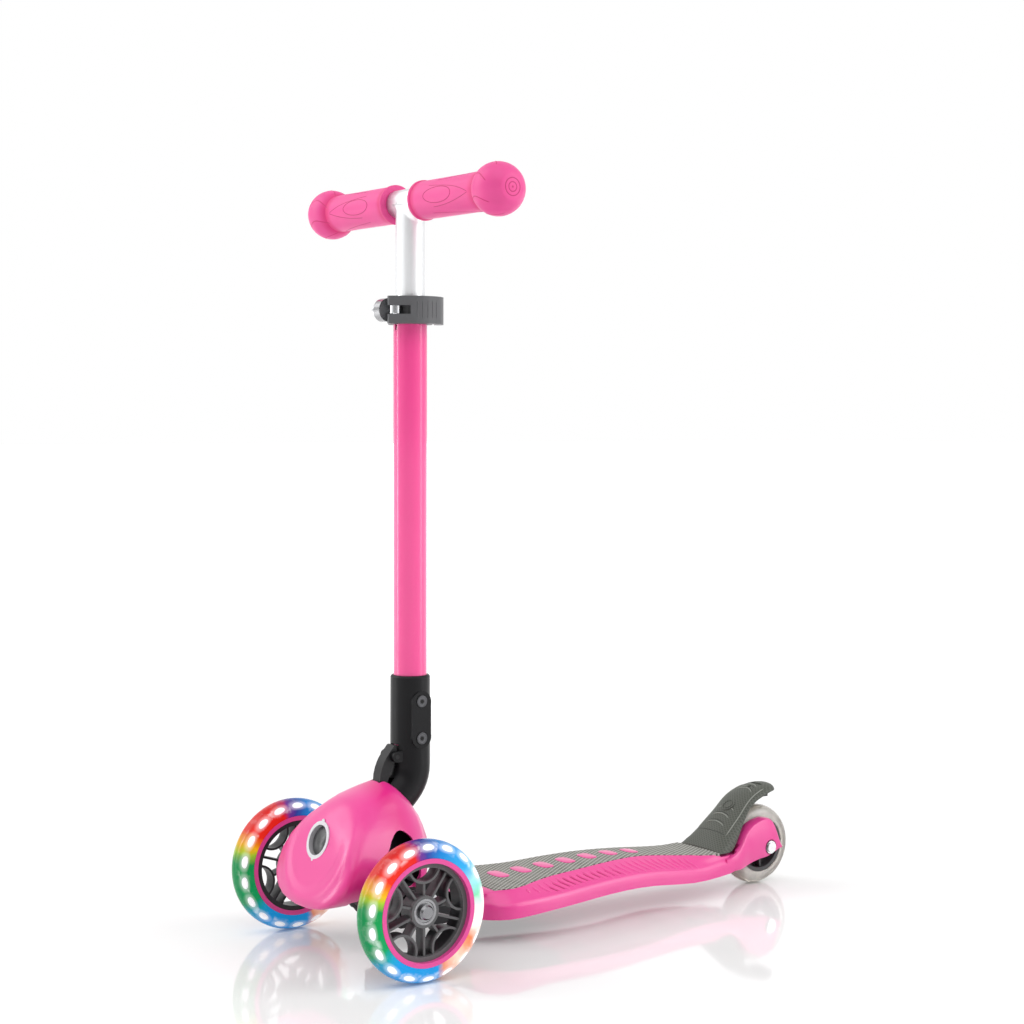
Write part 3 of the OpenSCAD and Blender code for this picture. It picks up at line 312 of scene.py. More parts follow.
def lit_tyre():
    """Clear cast tyre whose lamps tint it round the wheel and shine through it as white ovals."""
    s = Shader("clear_tyre", (0.5, 0.7, 0.9), 0.16, coat_weight=0.12, coat_roughness=0.06, ior=1.46,
               specular_ior_level=0.14)
    wheel = centre_of("left_tyre")
    tyre_radius = size_of("left_tyre").z / 2
    lamp_radius = size_of("left_lights").z / 2 - LAMP_INSET
    back, up = s.axis("Y", wheel.y), s.axis("Z", wheel.z)
    turn = s.math("FRACT", s.math("ADD", s.math("DIVIDE", s.math("ARCTAN2", up, back), math.tau), 1.0))
    reach = s.length(back, up)
    wobble = s.math("MULTIPLY", s.math("SUBTRACT", s.noise(9, 2), 0.5), 0.03)
    tint = s.ramp(s.math("FRACT", s.math("ADD", turn, s.math("ADD", wobble, 1.0))), GLOW)
    # An oval of white light over each lamp, a paler halo round it and streaks between the lamps
    pitch = math.tau * lamp_radius / LAMP_COUNT
    lamp_turn = s.math("FRACT", s.math("MULTIPLY", turn, LAMP_COUNT))
    along = s.math("MULTIPLY", s.math("SUBTRACT", lamp_turn, 0.5), pitch)
    off = s.math("SUBTRACT", reach, lamp_radius)
    oval = s.length(s.math("DIVIDE", along, LAMP_LONG), s.math("DIVIDE", off, LAMP_TALL))
    lamp = s.invert(s.step(oval, 0.72, 1.08))
    halo = s.math("MULTIPLY", s.invert(s.step(oval, 0.9, 1.9)), HALO)
    band_of_lamps = s.invert(s.step(s.math("ABSOLUTE", off), 1.5 * MM, 6.5 * MM))
    clouds = s.step(s.noise(8, 3), 0.50, 0.70)
    streak = s.math("MULTIPLY", s.math("MULTIPLY", clouds, band_of_lamps), STREAK)
    white = s.math("MAXIMUM", s.math("MAXIMUM", lamp, halo), streak)
    rim = s.math("MULTIPLY", s.step(reach, tyre_radius - 3.4 * MM, tyre_radius - 0.6 * MM), RIM_SHADE)
    colour = s.mix(rim, s.mix(white, tint, GLOW_WHITE), s.mix(RIM_TINT, tint, GLOW_RIM))
    s.paint(colour)
    s.link(colour, s.main.inputs["Emission Color"])
    s.set("Emission Strength", GLOW_STRENGTH)
    s.raise_by(s.noise(9, 2), 0.03)
    return s.done(0.4)


def lamp_window():
    s = Shader("lamp_window", (0.95, 0.96, 1.0), 0.25)
    s.paint(s.mix(s.noise(3, 2), (0.93, 0.96, 1.0), (1.0, 1.0, 1.0)))
    s.set("Emission Color", (1.0, 1.0, 1.0, 1))
    s.set("Emission Strength", 0.9)
    s.raise_by(s.noise(1.2, 2), 0.02)
    return s.done()


# Dark and light cream of the rear tyre's tread and of its sides, and the painted shade at its edge
CREAM = (0.74, 0.71, 0.64), (0.96, 0.88, 0.76)
CREAM_SIDE = (0.38, 0.38, 0.37), (0.78, 0.73, 0.66)
CREAM_EDGE_SHADE = (0.10, 0.11, 0.12)


def milky_tyre():
    """Rear tyre: cast clear, a little creamy, with painted shade where one looks through its edge."""
    s = Shader("milky_tyre", (0.80, 0.78, 0.72), 0.12, coat_weight=0.4, coat_roughness=0.05, ior=1.46,
               transmission_weight=0.60, specular_ior_level=0.4)
    wheel = centre_of("rear_tyre")
    radius = size_of("rear_tyre").z / 2
    reach = s.length(s.axis("Y", wheel.y), s.axis("Z", wheel.z))
    edge = s.step(reach, radius - 4.5 * MM, radius - 1.0 * MM)
    side = s.step(s.math("ABSOLUTE", s.axis("X")), 7 * MM, 11 * MM)
    cloud = s.mix(side, s.mix(s.noise(11, 3), *CREAM), s.mix(s.noise(8, 3), *CREAM_SIDE))
    # Painted shade: darker near the outer edge of the sides
    s.paint(s.mix(s.math("MULTIPLY", s.math("MULTIPLY", edge, side), 0.7), cloud, CREAM_EDGE_SHADE))
    s.raise_by(s.noise(6, 2), 0.05)
    return s.done(0.5)


def weave(s, across, along, slope, pitch):
    """The higher of two sine waves that slant across each other"""
    waves = []
    for way in ("ADD", "SUBTRACT"):
        place = s.math(way, across, s.math("MULTIPLY", along, slope))
        waves.append(s.math("SINE", s.math("MULTIPLY", place, math.tau / pitch)))
    return s.math("MAXIMUM", *waves)


PAD_WEAVE, PAD_SLOPE = 4.6 * MM, 0.62
FENDER_WEAVE, FENDER_SLOPE = 3.6 * MM, 0.7


def woven_pad():
    """Grip pad moulded like a diagonal basket weave."""
    s = Shader("grip_mat", (0.30, 0.31, 0.27), 0.66, specular_ior_level=0.2)
    lift = s.step(weave(s, s.axis("X"), s.axis("Y"), PAD_SLOPE, PAD_WEAVE), 0.15, 0.75)
    dust = s.noise(14, 4)
    light = s.mix(dust, (0.36, 0.36, 0.33), (0.50, 0.50, 0.46))
    dark = s.mix(dust, (0.060, 0.060, 0.052), (0.10, 0.10, 0.085))
    s.paint(s.mix(lift, dark, light))
    s.vary_roughness(s.noise(5, 3), 0.08)
    s.raise_by(lift, 0.35)
    s.raise_by(s.noise(0.6, 2), 0.03)
    return s.done(0.8)


def olive_brake():
    """Olive plastic with the fine diagonal weave that the grip pad has, much fainter."""
    s = moulded("olive_plastic", OLIVE, 0.50, grain_mm=0.8, grain_depth=0.035, mottle=0.10,
                specular_ior_level=0.3)
    along = s.math("ADD", s.axis("Y"), s.axis("Z"))
    lift = s.step(weave(s, s.axis("X"), along, FENDER_SLOPE, FENDER_WEAVE), 0.2, 0.9)
    s.paint(s.mix(lift, s.drift(OLIVE, 25, 0.82, 1.0, detail=3), scaled(OLIVE, 1.45)))
    s.raise_by(lift, 0.10)
    return s.done(0.9)


# Dips of a grip, where shade is painted: where the flange's is from its inner end, where the ball's is from
# its outer end, widths
FLANGE_DIP, FLANGE_WIDTH = 5 * MM, 7 * MM
BALL_DIP, BALL_WIDTH = 37 * MM, 9 * MM
# Marks sunk in the end of the ball: radii and width of the rings, radius of the dot, how far they reach
RING_RADII, RING_WIDTH, RING_DEPTH_MM = (7.4 * MM, 4.0 * MM), 0.7 * MM, 0.3
DOT_RADIUS = 1.5 * MM
MARKS_GONE, MARKS_FULL = 5 * MM, 4 * MM


def soft_grip():
    """Soft pink with painted shade in its dip rings, and two rings and a dot sunk in the end of the ball,
    coloured dark as painted shade.
    """
    s = moulded("pink_grip", PINK_GRIP, 0.46, grain_mm=1.2, grain_depth=0.03, mottle=0.05,
                specular_ior_level=0.4)
    low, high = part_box("left_grip")
    middle = (low + high) / 2
    out = s.math("ABSOLUTE", s.axis("X"))
    dip_shade = s.math("MAXIMUM", s.near(out, low.x + FLANGE_DIP, FLANGE_WIDTH),
                  s.near(out, high.x - BALL_DIP, BALL_WIDTH))
    dip_shade = s.math("MULTIPLY", dip_shade, s.span(s.noise(16, 2), 0.35, 0.9))
    reach = s.length(s.axis("Y", middle.y), s.axis("Z", middle.z))
    marks = s.math("MAXIMUM", *[s.near(reach, radius, RING_WIDTH) for radius in RING_RADII])
    marks = s.math("MAXIMUM", marks, s.near(reach, 0.0, DOT_RADIUS))
    marks = s.math("MULTIPLY", marks, s.step(out, high.x - MARKS_GONE, high.x - MARKS_FULL))
    # Painted shade: deeper pink in the dips and dark pink in the sunk rings and dot
    skin = s.mix(dip_shade, s.drift(PINK_GRIP, 30, 0.95, 1.06, detail=3), GRIP_DIP_SHADE)
    s.paint(s.mix(marks, skin, GRIP_LINE_SHADE))
    s.raise_by(s.invert(marks), RING_DEPTH_MM)
    s.set("Subsurface Weight", 0.08)
    s.set("Subsurface Radius", (0.004, 0.001, 0.002))
    return s.done(0.7)


def tube_pink():
    """Painted steel tube."""
    s = Shader("pink_tube", PINK_TUBE, 0.30, coat_weight=0.5, coat_roughness=0.10)
    s.paint(s.drift(PINK_TUBE, 60, 0.97, 1.03))
    s.vary_roughness(s.noise(8, 3), 0.04)
    s.raise_by(s.noise(2.4, 2), 0.012)
    return s.done(0.6)


# Distances outwards from a front wheel's middle plane: its core carries painted shade up to one and is pale
# beyond the other
CORE_SHADE_TO, CORE_PALE_FROM = 1.4 * MM, 4.5 * MM


def core_grey():
    """Grey ribs with painted shade in the depth of the wheel, their outer faces paler."""
    s = moulded("dark_core", CORE_LIGHT, 0.38, grain_mm=1.0, specular_ior_level=0.3)
    outwards = s.math("SUBTRACT", s.math("ABSOLUTE", s.axis("X")), abs(centre_of("left_tyre").x))
    pale = s.step(outwards, CORE_SHADE_TO, CORE_PALE_FROM)
    s.paint(s.mix(pale, s.drift(CORE_DEPTH_SHADE, 20, 1.0, 1.5), CORE_LIGHT))
    return s.done(0.7)


# Plain moulded finishes: colour, roughness, strength of the bump, other settings
PLASTICS = {
    "pink_ring": ((0.80, 0.07, 0.33), 0.34, 0.7, dict(grain_depth=0.01, mottle=0.05)),
    # Dark pink of the painted shadow lines ahead of the deck's ribs
    "pink_line": ((0.46, 0.006, 0.11), 0.5, 0.5, dict(grain_depth=0.01)),
    # Darker pinks of the grip's moulded lines and folds, painted as the shade in them
    "grip_line": (GRIP_LINE_SHADE, 0.55, 0.5, dict(grain_depth=0.01)),
    "grip_fold": ((0.64, 0.022, 0.17), 0.5, 0.5, dict(grain_depth=0.01)),
    "black_nylon": ((0.016, 0.016, 0.018), 0.48, 0.7,
                    dict(grain_depth=0.03, mottle=0.15, specular_ior_level=0.25)),
    "black_casting": ((0.008, 0.008, 0.009), 0.36, 0.6,
                      dict(grain_mm=0.7, mottle=0.15, specular_ior_level=0.17)),
    "black_lever": ((0.014, 0.014, 0.015), 0.40, 0.8,
                    dict(grain_depth=0.03, mottle=0.15, specular_ior_level=0.25)),
    "black_rubber": ((0.03, 0.03, 0.03), 0.75, 1.0, dict(grain_depth=0.05, mottle=0.2)),
    "dark_lever": ((0.088, 0.090, 0.095), 0.46, 0.8, dict(grain_depth=0.03, mottle=0.08)),
    # Near-black painted as the shade inside a bolt's socket
    "dark_socket": ((0.008, 0.008, 0.008), 0.5, 0.6, dict(specular_ior_level=0.2)),
    "hub_grey": ((0.06, 0.06, 0.063), 0.38, 0.7, dict(grain_mm=1.0, specular_ior_level=0.3)),
    "button_grey": ((0.022, 0.023, 0.025), 0.30, 0.8, dict(grain_depth=0.03, mottle=0.10)),
    "silver_ring": ((0.66, 0.65, 0.68), 0.30, 0.6, dict(metallic=0.35, grain_depth=0.01)),
    "white_plastic": ((0.78, 0.78, 0.75), 0.42, 0.7, dict(mottle=0.03)),
    # Near-black olive painted as shade beside the fender's ridges; the paler olive below is painted
    # highlight on the ridges
    "olive_line": ((0.020, 0.021, 0.018), 0.6, 0.5, dict(grain_depth=0.01)),
    "olive_ridge": ((0.24, 0.25, 0.22), 0.45, 0.5, dict(grain_depth=0.01)),
}

# Plain metals: colour, roughness, strength of the bump, other settings
METALS = {
    "silver_tube": (SILVER, 0.38, 0.3, dict(along=(1, 1, 60), depth=0.001)),
    "silver_bar": (SILVER, 0.38, 0.3, dict(along=(60, 1, 1), depth=0.001)),
    "zinc_steel": ((0.50, 0.51, 0.52), 0.34, 0.7, dict()),
    "chrome": ((0.84, 0.85, 0.87), 0.12, 0.4, dict(depth=0.002)),
    "bearing_steel": ((0.30, 0.30, 0.31), 0.28, 0.5, dict(depth=0.003)),
    "bolt_steel": ((0.24, 0.24, 0.25), 0.24, 0.4, dict(depth=0.002)),
    "rear_steel": ((0.50, 0.50, 0.51), 0.20, 0.4, dict(depth=0.002)),
    "bolt_edge": ((0.075, 0.075, 0.08), 0.30, 0.4, dict(depth=0.002)),
    "strap_steel": ((0.36, 0.36, 0.37), 0.24, 0.4, dict(depth=0.002)),
    "black_bolt": ((0.10, 0.10, 0.105), 0.32, 0.6, dict()),
}

finish = {
    "pink_shell": shell_pink(),
    "pink_fairing": fairing_pink(),
    "pink_grip": soft_grip(),
    "pink_tube": tube_pink(),
    "grip_mat": woven_pad(),
    "clear_tyre": lit_tyre(),
    "lamp_window": lamp_window(),
    "milky_tyre": milky_tyre(),
    "dark_core": core_grey(),
    "olive_plastic": olive_brake(),
}
for make, table in ((moulded, PLASTICS), (metal, METALS)):
    for name, (colour, roughness, strength, settings) in table.items():
        finish[name] = make(name, colour, roughness, **settings).done(strength)

WEARS = {
    "pink_shell": ["deck_shell"],
    "pink_fairing": ["fairing"],
    "pink_ring": ["left_rim_ring", "right_rim_ring"],
    "pink_grip": ["left_grip", "right_grip"],
    "pink_tube": ["outer_tube"],
    "grip_mat": ["deck_grip"],
    "black_nylon": ["base_frame", "axle_beam", "tube_sleeve"],
    "black_casting": ["neck", "fold_bracket"],
    "black_lever": ["fold_lever", "fold_lever_pin"],
    "black_bolt": ["neck_bolts"],
    "black_rubber": ["kingpin_bush", "steer_stops", "brake_pad"],
    "dark_lever": ["clamp_lever", "clamp_collar"],
    "button_grey": ["lock_button"],
    "silver_ring": ["button_ring"],
    "silver_tube": ["inner_tube"],
    "silver_bar": ["crossbar"],
    "zinc_steel": ["latch_bar", "fold_pin", "frame_bolts", "kingpin", "deck_screws", "fairing_screws",
                   "rear_spacers", "brake_pin", "brake_spring", "axle_washers", "magnet_spacers",
                   "brake_screw"],
    "chrome": ["clamp_bolt", "clamp_nut", "clamp_pin"],
    "bearing_steel": ["left_bearings", "right_bearings", "rear_bearings"],
    "bolt_steel": ["front_axle_bolts"],
    "rear_steel": ["rear_axle"],
    "clear_tyre": ["left_tyre", "right_tyre"],
    "lamp_window": ["left_lights", "right_lights"],
    "milky_tyre": ["rear_tyre"],
    "dark_core": ["left_core", "right_core"],
    "hub_grey": ["rear_core"],
    "white_plastic": ["tube_foot", "clamp_washer"],
    "olive_plastic": ["brake_fender", "brake_badge"],
}

for name, nodes in WEARS.items():
    for node in nodes:
        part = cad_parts[node]
        if not part.data.materials:
            part.data.materials.append(finish[name])
        for slot in part.material_slots:
            slot.material = finish[name]

# ---------------------------------------------------------------- tools for detail laid on the shells


class Surface:
    """A CAD node's skin, for laying detail on it."""

    def __init__(self, node):
        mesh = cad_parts[node].data
        corners = [v.co for v in mesh.vertices]
        self.tree = BVHTree.FromPolygons(corners, [tuple(f.vertices) for f in mesh.polygons])

    def hit(self, start, direction, reach=0.3):
        """Place and outward normal where a ray meets the skin, or None"""
        place, normal, _, _ = self.tree.ray_cast(Vector(start), Vector(direction).normalized(), reach)
        if place is None:
            return None
        if normal.dot(Vector(direction)) > 0:
            normal = -normal
        return place, normal

    def trace(self, starts, direction):
        """The first unbroken run of hits from the given start points"""
        run = []
        for start in starts:
            found = self.hit(start, direction)
            if found is not None:
                run.append(found)
            elif run:
                break
        return run


def add_mesh(name, points, faces, material, body, soft=True):
    mesh = bpy.data.meshes.new(name)
    mesh.from_pydata([tuple(p) for p in points], [], faces)
    mesh.update()
    mesh.polygons.foreach_set("use_smooth", [soft] * len(mesh.polygons))
    mesh.materials.append(finish[material])
    piece = bpy.data.objects.new(name, mesh)
    scene.collection.objects.link(piece)
    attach(piece, body)


def circle(count):
    return [math.tau * k / count for k in range(count)]


def band(here, there, sides):
    """Faces between two rings of points, each given by the number of its first point"""
    return [(here + k, here + (k + 1) % sides, there + (k + 1) % sides, there + k) for k in range(sides)]


# Sides of a strip's half round, how deep its edges lie in the skin, and the share of its size at its ends
BEAD_SIDES, BEAD_SINK, BEAD_END = 7, 0.3 * MM, 0.25


def bead_rings(run, width, height, closed):
    """Rings of a low half-round strip along a run of (point, normal), narrowing at its ends."""
    rings = []
    n = len(run)
    for k, (place, normal) in enumerate(run):
        before = run[(k - 1) % n][0] if closed or k else place
        after = run[(k + 1) % n][0] if closed or k < n - 1 else place
        side = (after - before).normalized().cross(normal).normalized()
        end = 1.0 if closed else min(1.0, BEAD_END + (1 - BEAD_END) * min(k, n - 1 - k) / 2)
        rings.append([place + side * (width / 2 * end * math.cos(a)) +
                      normal * ((height + BEAD_SINK) * end * max(0.0, math.sin(a)) - BEAD_SINK)
                      for a in [math.pi * j / (BEAD_SIDES - 1) for j in range(BEAD_SIDES)]])
    return rings


def add_beads(name, runs, width, height, material, body, closed=False):
    """One mesh of low strips, one for each run of surface points."""
    points, faces = [], []
    for run in runs:
        if len(run) < 3:
            continue
        base = len(points)
        rings = bead_rings(run, width, height, closed)
        n = len(rings)
        for ring in rings:
            points += ring
        for k in range(n if closed else n - 1):
            here, there = base + k * BEAD_SIDES, base + (k + 1) % n * BEAD_SIDES
            for j in range(BEAD_SIDES):
                q = (j + 1) % BEAD_SIDES
                faces.append((here + j, there + j, there + q, here + q))
        if not closed:
            faces.append(tuple(base + j for j in range(BEAD_SIDES)))
            faces.append(tuple(base + (n - 1) * BEAD_SIDES + j for j in reversed(range(BEAD_SIDES))))
    add_mesh(name, points, faces, material, body)


def lathe_disc(name, centre, axis, outline, material, body, sides=36):
    """A turned piece: outline is (radius, height) pairs from rim to middle, height along the axis."""
    axis = Vector(axis).normalized()
    one = axis.orthogonal().normalized()
    two = axis.cross(one)
    points, faces = [], []
    for radius, height in outline:
        for a in circle(sides):
            points.append(Vector(centre) + axis * height + (one * math.cos(a) + two * math.sin(a)) * radius)
    for level in range(len(outline) - 1):
        faces += band(level * sides, (level + 1) * sides, sides)
    faces.append(tuple(range((len(outline) - 1) * sides, len(outline) * sides)))
    faces.append(tuple(reversed(range(sides))))
    add_mesh(name, points, faces, material, body, soft=False)


# ---------------------------------------------------------------- deck, brake and handlebar detail

DOWN = (0, 0, -1)
OVERHEAD = 0.25
deck = Surface("deck_shell")
mat = Surface("deck_grip")
brake = Surface("brake_fender")
mat_low, mat_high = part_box("deck_grip")


def last_x(surface, y, least_up=-1.0):
    """How far out from the middle the surface goes on at y while its normal points up by over least_up"""
    x = 0.0
    while x < 80 * MM:
        found = surface.hit((x, y, OVERHEAD), DOWN)
        if found is None or found[1].z <= least_up:
            break
        x += 0.5 * MM
    return x


RIB_PITCH, RIB_SLANT, RIB_POINTS = 8.2 * MM, 0.75, 9
RIB_WIDTH, RIB_HEIGHT = 3.6 * MM, 0.8 * MM
# Distances of the ribs from the mat's front and rear ends, from its side and from the deck's edge
RIB_FRONT, RIB_REAR, RIB_INNER, RIB_OUTER = 30 * MM, 8 * MM, 2.2 * MM, 1.0 * MM
RIB_SHORTEST, RIB_LEAST_UP = 3 * MM, 0.62
# Share of the full length at the two ends, and the distance over which one whole share is gained
FRONT_SHARE, FRONT_GROWTH = 0.35, 40 * MM
REAR_SHARE, REAR_GROWTH = 0.3, 36 * MM
SHADOW_AHEAD, SHADOW_WIDTH, SHADOW_HEIGHT = 2.9 * MM, 2.4 * MM, 0.12 * MM


def add_deck_ribs():
    """Slanting anti-slip ribs on the strips beside the grip pad, each with a painted shadow line ahead of
    it.
    """
    first, last = mat_low.y + RIB_FRONT, mat_high.y - RIB_REAR
    runs = []
    y = first
    while y < last:
        inner = last_x(mat, y) + RIB_INNER
        outer = last_x(deck, y, RIB_LEAST_UP) - RIB_OUTER
        share = min(1.0, FRONT_SHARE + (y - first) / FRONT_GROWTH, REAR_SHARE + (last - y) / REAR_GROWTH)
        length = (outer - inner) * share
        if length > RIB_SHORTEST:
            outs = [length * k / (RIB_POINTS - 1) for k in range(RIB_POINTS)]
            for side in (-1, 1):
                starts = [(side * (inner + out), y + RIB_SLANT * out, OVERHEAD) for out in outs]
                runs.append(deck.trace(starts, DOWN))
        y += RIB_PITCH
    add_beads("deck_ribs", runs, RIB_WIDTH, RIB_HEIGHT, "pink_shell", "chassis")
    ahead = Vector((0, -SHADOW_AHEAD, 0))
    shadows = [[(place + ahead, normal) for place, normal in run] for run in runs]
    add_beads("deck_rib_shadows", shadows, SHADOW_WIDTH, SHADOW_HEIGHT, "pink_line", "chassis")


PAD_COUNT, PAD_FIRST, PAD_PITCH = 7, 34 * MM, 26 * MM
PAD_LONG, PAD_SHORT, PAD_SHRINK = 27 * MM, 13 * MM, 0.045
PAD_SIDES, PAD_SQUARE_X, PAD_SQUARE_Y = 28, 0.55, 0.75
# Rings of a pad from its foot up, as share of its outline and height over the mat; then its middle
PAD_RINGS = ((1.0, -0.4 * MM), (1.0, 0.35 * MM), (0.90, 0.65 * MM))
PAD_TOP = 0.75 * MM


def squared(value, power):
    """A sine or cosine bent so that the oval they draw grows flat sides"""
    return math.copysign(abs(value) ** power, value)


def add_mat_pads():
    """Plain oblong pads of the deck's pink that stand through the grip mat."""
    points, faces = [], []

    def add_point(x, y, rise):
        place, normal = mat.hit((x, y, OVERHEAD), DOWN)
        points.append(place + normal * rise)

    for pad in range(PAD_COUNT):
        y = mat_low.y + PAD_FIRST + pad * PAD_PITCH
        half_long, half_short = PAD_LONG / 2 * (1 - PAD_SHRINK * pad), PAD_SHORT / 2
        outline = [(squared(math.cos(a), PAD_SQUARE_X) * half_long,
                    squared(math.sin(a), PAD_SQUARE_Y) * half_short) for a in circle(PAD_SIDES)]
        foot, side, shoulder, top = [len(points) + level * PAD_SIDES for level in range(4)]
        for share, rise in PAD_RINGS:
            for out, back in outline:
                add_point(out * share, y + back * share, rise)
        add_point(0, y, PAD_TOP)
        faces += band(foot, side, PAD_SIDES) + band(side, shoulder, PAD_SIDES)
        faces += [(shoulder + k, shoulder + (k + 1) % PAD_SIDES, top) for k in range(PAD_SIDES)]
        faces.append(tuple(reversed(range(foot, side))))
    add_mesh("mat_pads", points, faces, "pink_shell", "chassis")


# Relief on the brake's fender, in millimetres, counted back from a line near its hinge
RELIEF_START, ARC_POINTS = 8, 13
EDGE_FROM, EDGE_TO, EDGE_HALF, EDGE_TAPER = 7, 66, 22.5, 0.115
SEAM_HALF, SEAM_BACK, SEAM_BOW = 22, 5.5, 0.004
# Two groups of arcs: count, first and pitch, half width and its loss, bow and its gain, painted shade line
# behind
ARCS = ((3, 12, 7.5, 13.5, 0.8, -1.6, 0.0, 1.5),
        (4, 50.5, 5.0, 11.5, 1.6, -4.5, 0.6, 1.3))
brake_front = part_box("brake_fender")[0].y + RELIEF_START * MM


def brake_point(x, back):
    """Start point over the fender, both in millimetres"""
    return x * MM, brake_front + back * MM, OVERHEAD


def brake_arc(half, back, bow):
    """A line across the fender, bowed towards its hinge by bow millimetres"""
    shares = [2 * k / (ARC_POINTS - 1) - 1 for k in range(ARC_POINTS)]
    return brake.trace([brake_point(half * t, back - bow * (1 - t * t)) for t in shares], DOWN)


def add_brake_detail():
    """Ridges along the edges and across the fender, painted pale as highlight, and painted shade lines
    beside them.
    """
    ridges = [brake.trace([brake_point(side * (EDGE_HALF - EDGE_TAPER * t), t)
                           for t in range(EDGE_FROM, EDGE_TO, 2)], DOWN) for side in (-1, 1)]
    lines = [brake.trace([brake_point(x, SEAM_BACK + SEAM_BOW * x * x)
                          for x in range(-SEAM_HALF, SEAM_HALF + 1, 2)], DOWN)]
    for count, first, pitch, half, loss, bow, gain, behind in ARCS:
        for k in range(count):
            for shift, group in ((0.0, ridges), (behind, lines)):
                group.append(brake_arc(half - loss * k, first + pitch * k + shift, bow + gain * k))
    add_beads("brake_ridges", ridges, 1.2 * MM, 0.65 * MM, "olive_ridge", "brake")
    add_beads("brake_lines", lines, 1.0 * MM, 0.22 * MM, "olive_line", "brake")


# The oval on a grip, as shares of the grip's length and angles from straight ahead towards up
OVAL_ALONG, OVAL_HALF_LONG = 0.34, 0.155
OVAL_TURN, OVAL_HALF_TALL, OVAL_POINTS = math.radians(2), 0.42, 48
WAVE_COUNT, WAVE_STEPS = 4, 30
FOLD_COUNT, FOLD_STEPS, FOLD_TURN = 7, 20, 0.35


def upper_wave(t):
    """Place along the grip and angle round it of a moulded line, at share t of its length"""
    return 0.20 + 0.50 * t, 0.62 - 0.75 * t ** 3 - 0.10 * math.sin(t * math.pi)


def lower_wave(t):
    return 0.26 + 0.44 * t, -0.60 + 0.55 * t ** 2


def ball_fold(t):
    return 0.70 + 0.235 * t, 0.42 * math.sin(math.pi * t) - 0.20


def add_grip_detail(side_name, side):
    """Moulded lines of a grip, coloured darker as painted shade: an oval under the fingers, pairs of waves,
    and folds on the ball.
    """
    grip = side_name + "_grip"
    skin = Surface(grip)
    low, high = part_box(grip)
    axis = (low + high) / 2
    inner = low.x if side > 0 else high.x
    length = high.x - low.x
    outside = 60 * MM

    def around(along, angle):
        """Where a ray towards the grip's axis meets it, at a share of its length"""
        way = Vector((0, math.cos(angle), -math.sin(angle)))
        return skin.hit(Vector((inner + side * length * along, axis.y, axis.z)) - way * outside, way)

    def curve(path, turn, steps):
        ways = [path(t / steps) for t in range(steps + 1)]
        return [around(along, turn + angle) for along, angle in ways]

    oval = [around(OVAL_ALONG + OVAL_HALF_LONG * math.cos(a), OVAL_TURN + OVAL_HALF_TALL * math.sin(a))
            for a in circle(OVAL_POINTS)]
    waves = [curve(path, turn, WAVE_STEPS) for turn in circle(WAVE_COUNT)
             for path in (upper_wave, lower_wave)]
    folds = [curve(ball_fold, turn + FOLD_TURN, FOLD_STEPS) for turn in circle(FOLD_COUNT)]
    add_beads(grip + "_oval", [oval], 0.75 * MM, 0.28 * MM, "grip_line", "handlebar", closed=True)
    add_beads(grip + "_lines", waves, 0.8 * MM, 0.18 * MM, "grip_line", "handlebar")
    add_beads(grip + "_folds", folds, 1.4 * MM, 0.18 * MM, "grip_fold", "handlebar")


BOLT_RADIUS, SOCKET_RADIUS, SOCKET_SIDES = 5.3 * MM, 2.0 * MM, 6
# Turned face of a bolt's head from its rim to its socket: share of the radius, height over the head
BOLT_FACE = ((1.0, -0.5 * MM), (1.0, -0.05 * MM), (0.92, 0.05 * MM), (0.72, 0.05 * MM),
             (0.66, -0.10 * MM), (0.56, -0.10 * MM), (0.52, 0.03 * MM))
BOLT_LIP, SOCKET_FOOT, SOCKET_TOP = 0.03 * MM, -0.3 * MM, 0.06 * MM


def add_neck_bolt_faces():
    """A turned rim and a hexagon socket on both ends of the two bolts that cross the neck; the socket is a
    near-black disc painted as the shade in its hole.
    """
    low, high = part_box("neck_bolts")
    y, half = (low.y + high.y) / 2, (high.y - low.y) / 2
    rim = [(BOLT_RADIUS * share, height) for share, height in BOLT_FACE] + [(SOCKET_RADIUS, BOLT_LIP)]
    socket = [(SOCKET_RADIUS, SOCKET_FOOT), (SOCKET_RADIUS, SOCKET_TOP)]
    for k, z in enumerate((low.z + half, high.z - half)):
        for way, side_name, x in ((1, "left", high.x), (-1, "right", low.x)):
            label, place, axis = f"neck_bolt_{k}_{side_name}", (x, y, z), (way, 0, 0)
            lathe_disc(label + "_rim", place, axis, rim, "bolt_edge", "stem")
            lathe_disc(label + "_socket", place, axis, socket, "dark_socket", "stem", SOCKET_SIDES)


TEE_RADIUS, TEE_BORE, TEE_HALF, TEE_SIDES = 12.4 * MM, 11.2 * MM, 20.4 * MM, 64
# Bevel of the sleeve's ends: along it and off its radius
TEE_BEVEL_LONG, TEE_BEVEL_DEEP = 0.5 * MM, 0.4 * MM
# Weld fillet: height, width as a share of it, rings; gap to the stem, overlap with the sleeve
FILLET, FILLET_WIDE, FILLET_RINGS = 5.5 * MM, 0.55, 9
FILLET_GAP, FILLET_OVERLAP, FILLET_INSIDE = 0.05 * MM, 0.6 * MM, 0.3 * MM


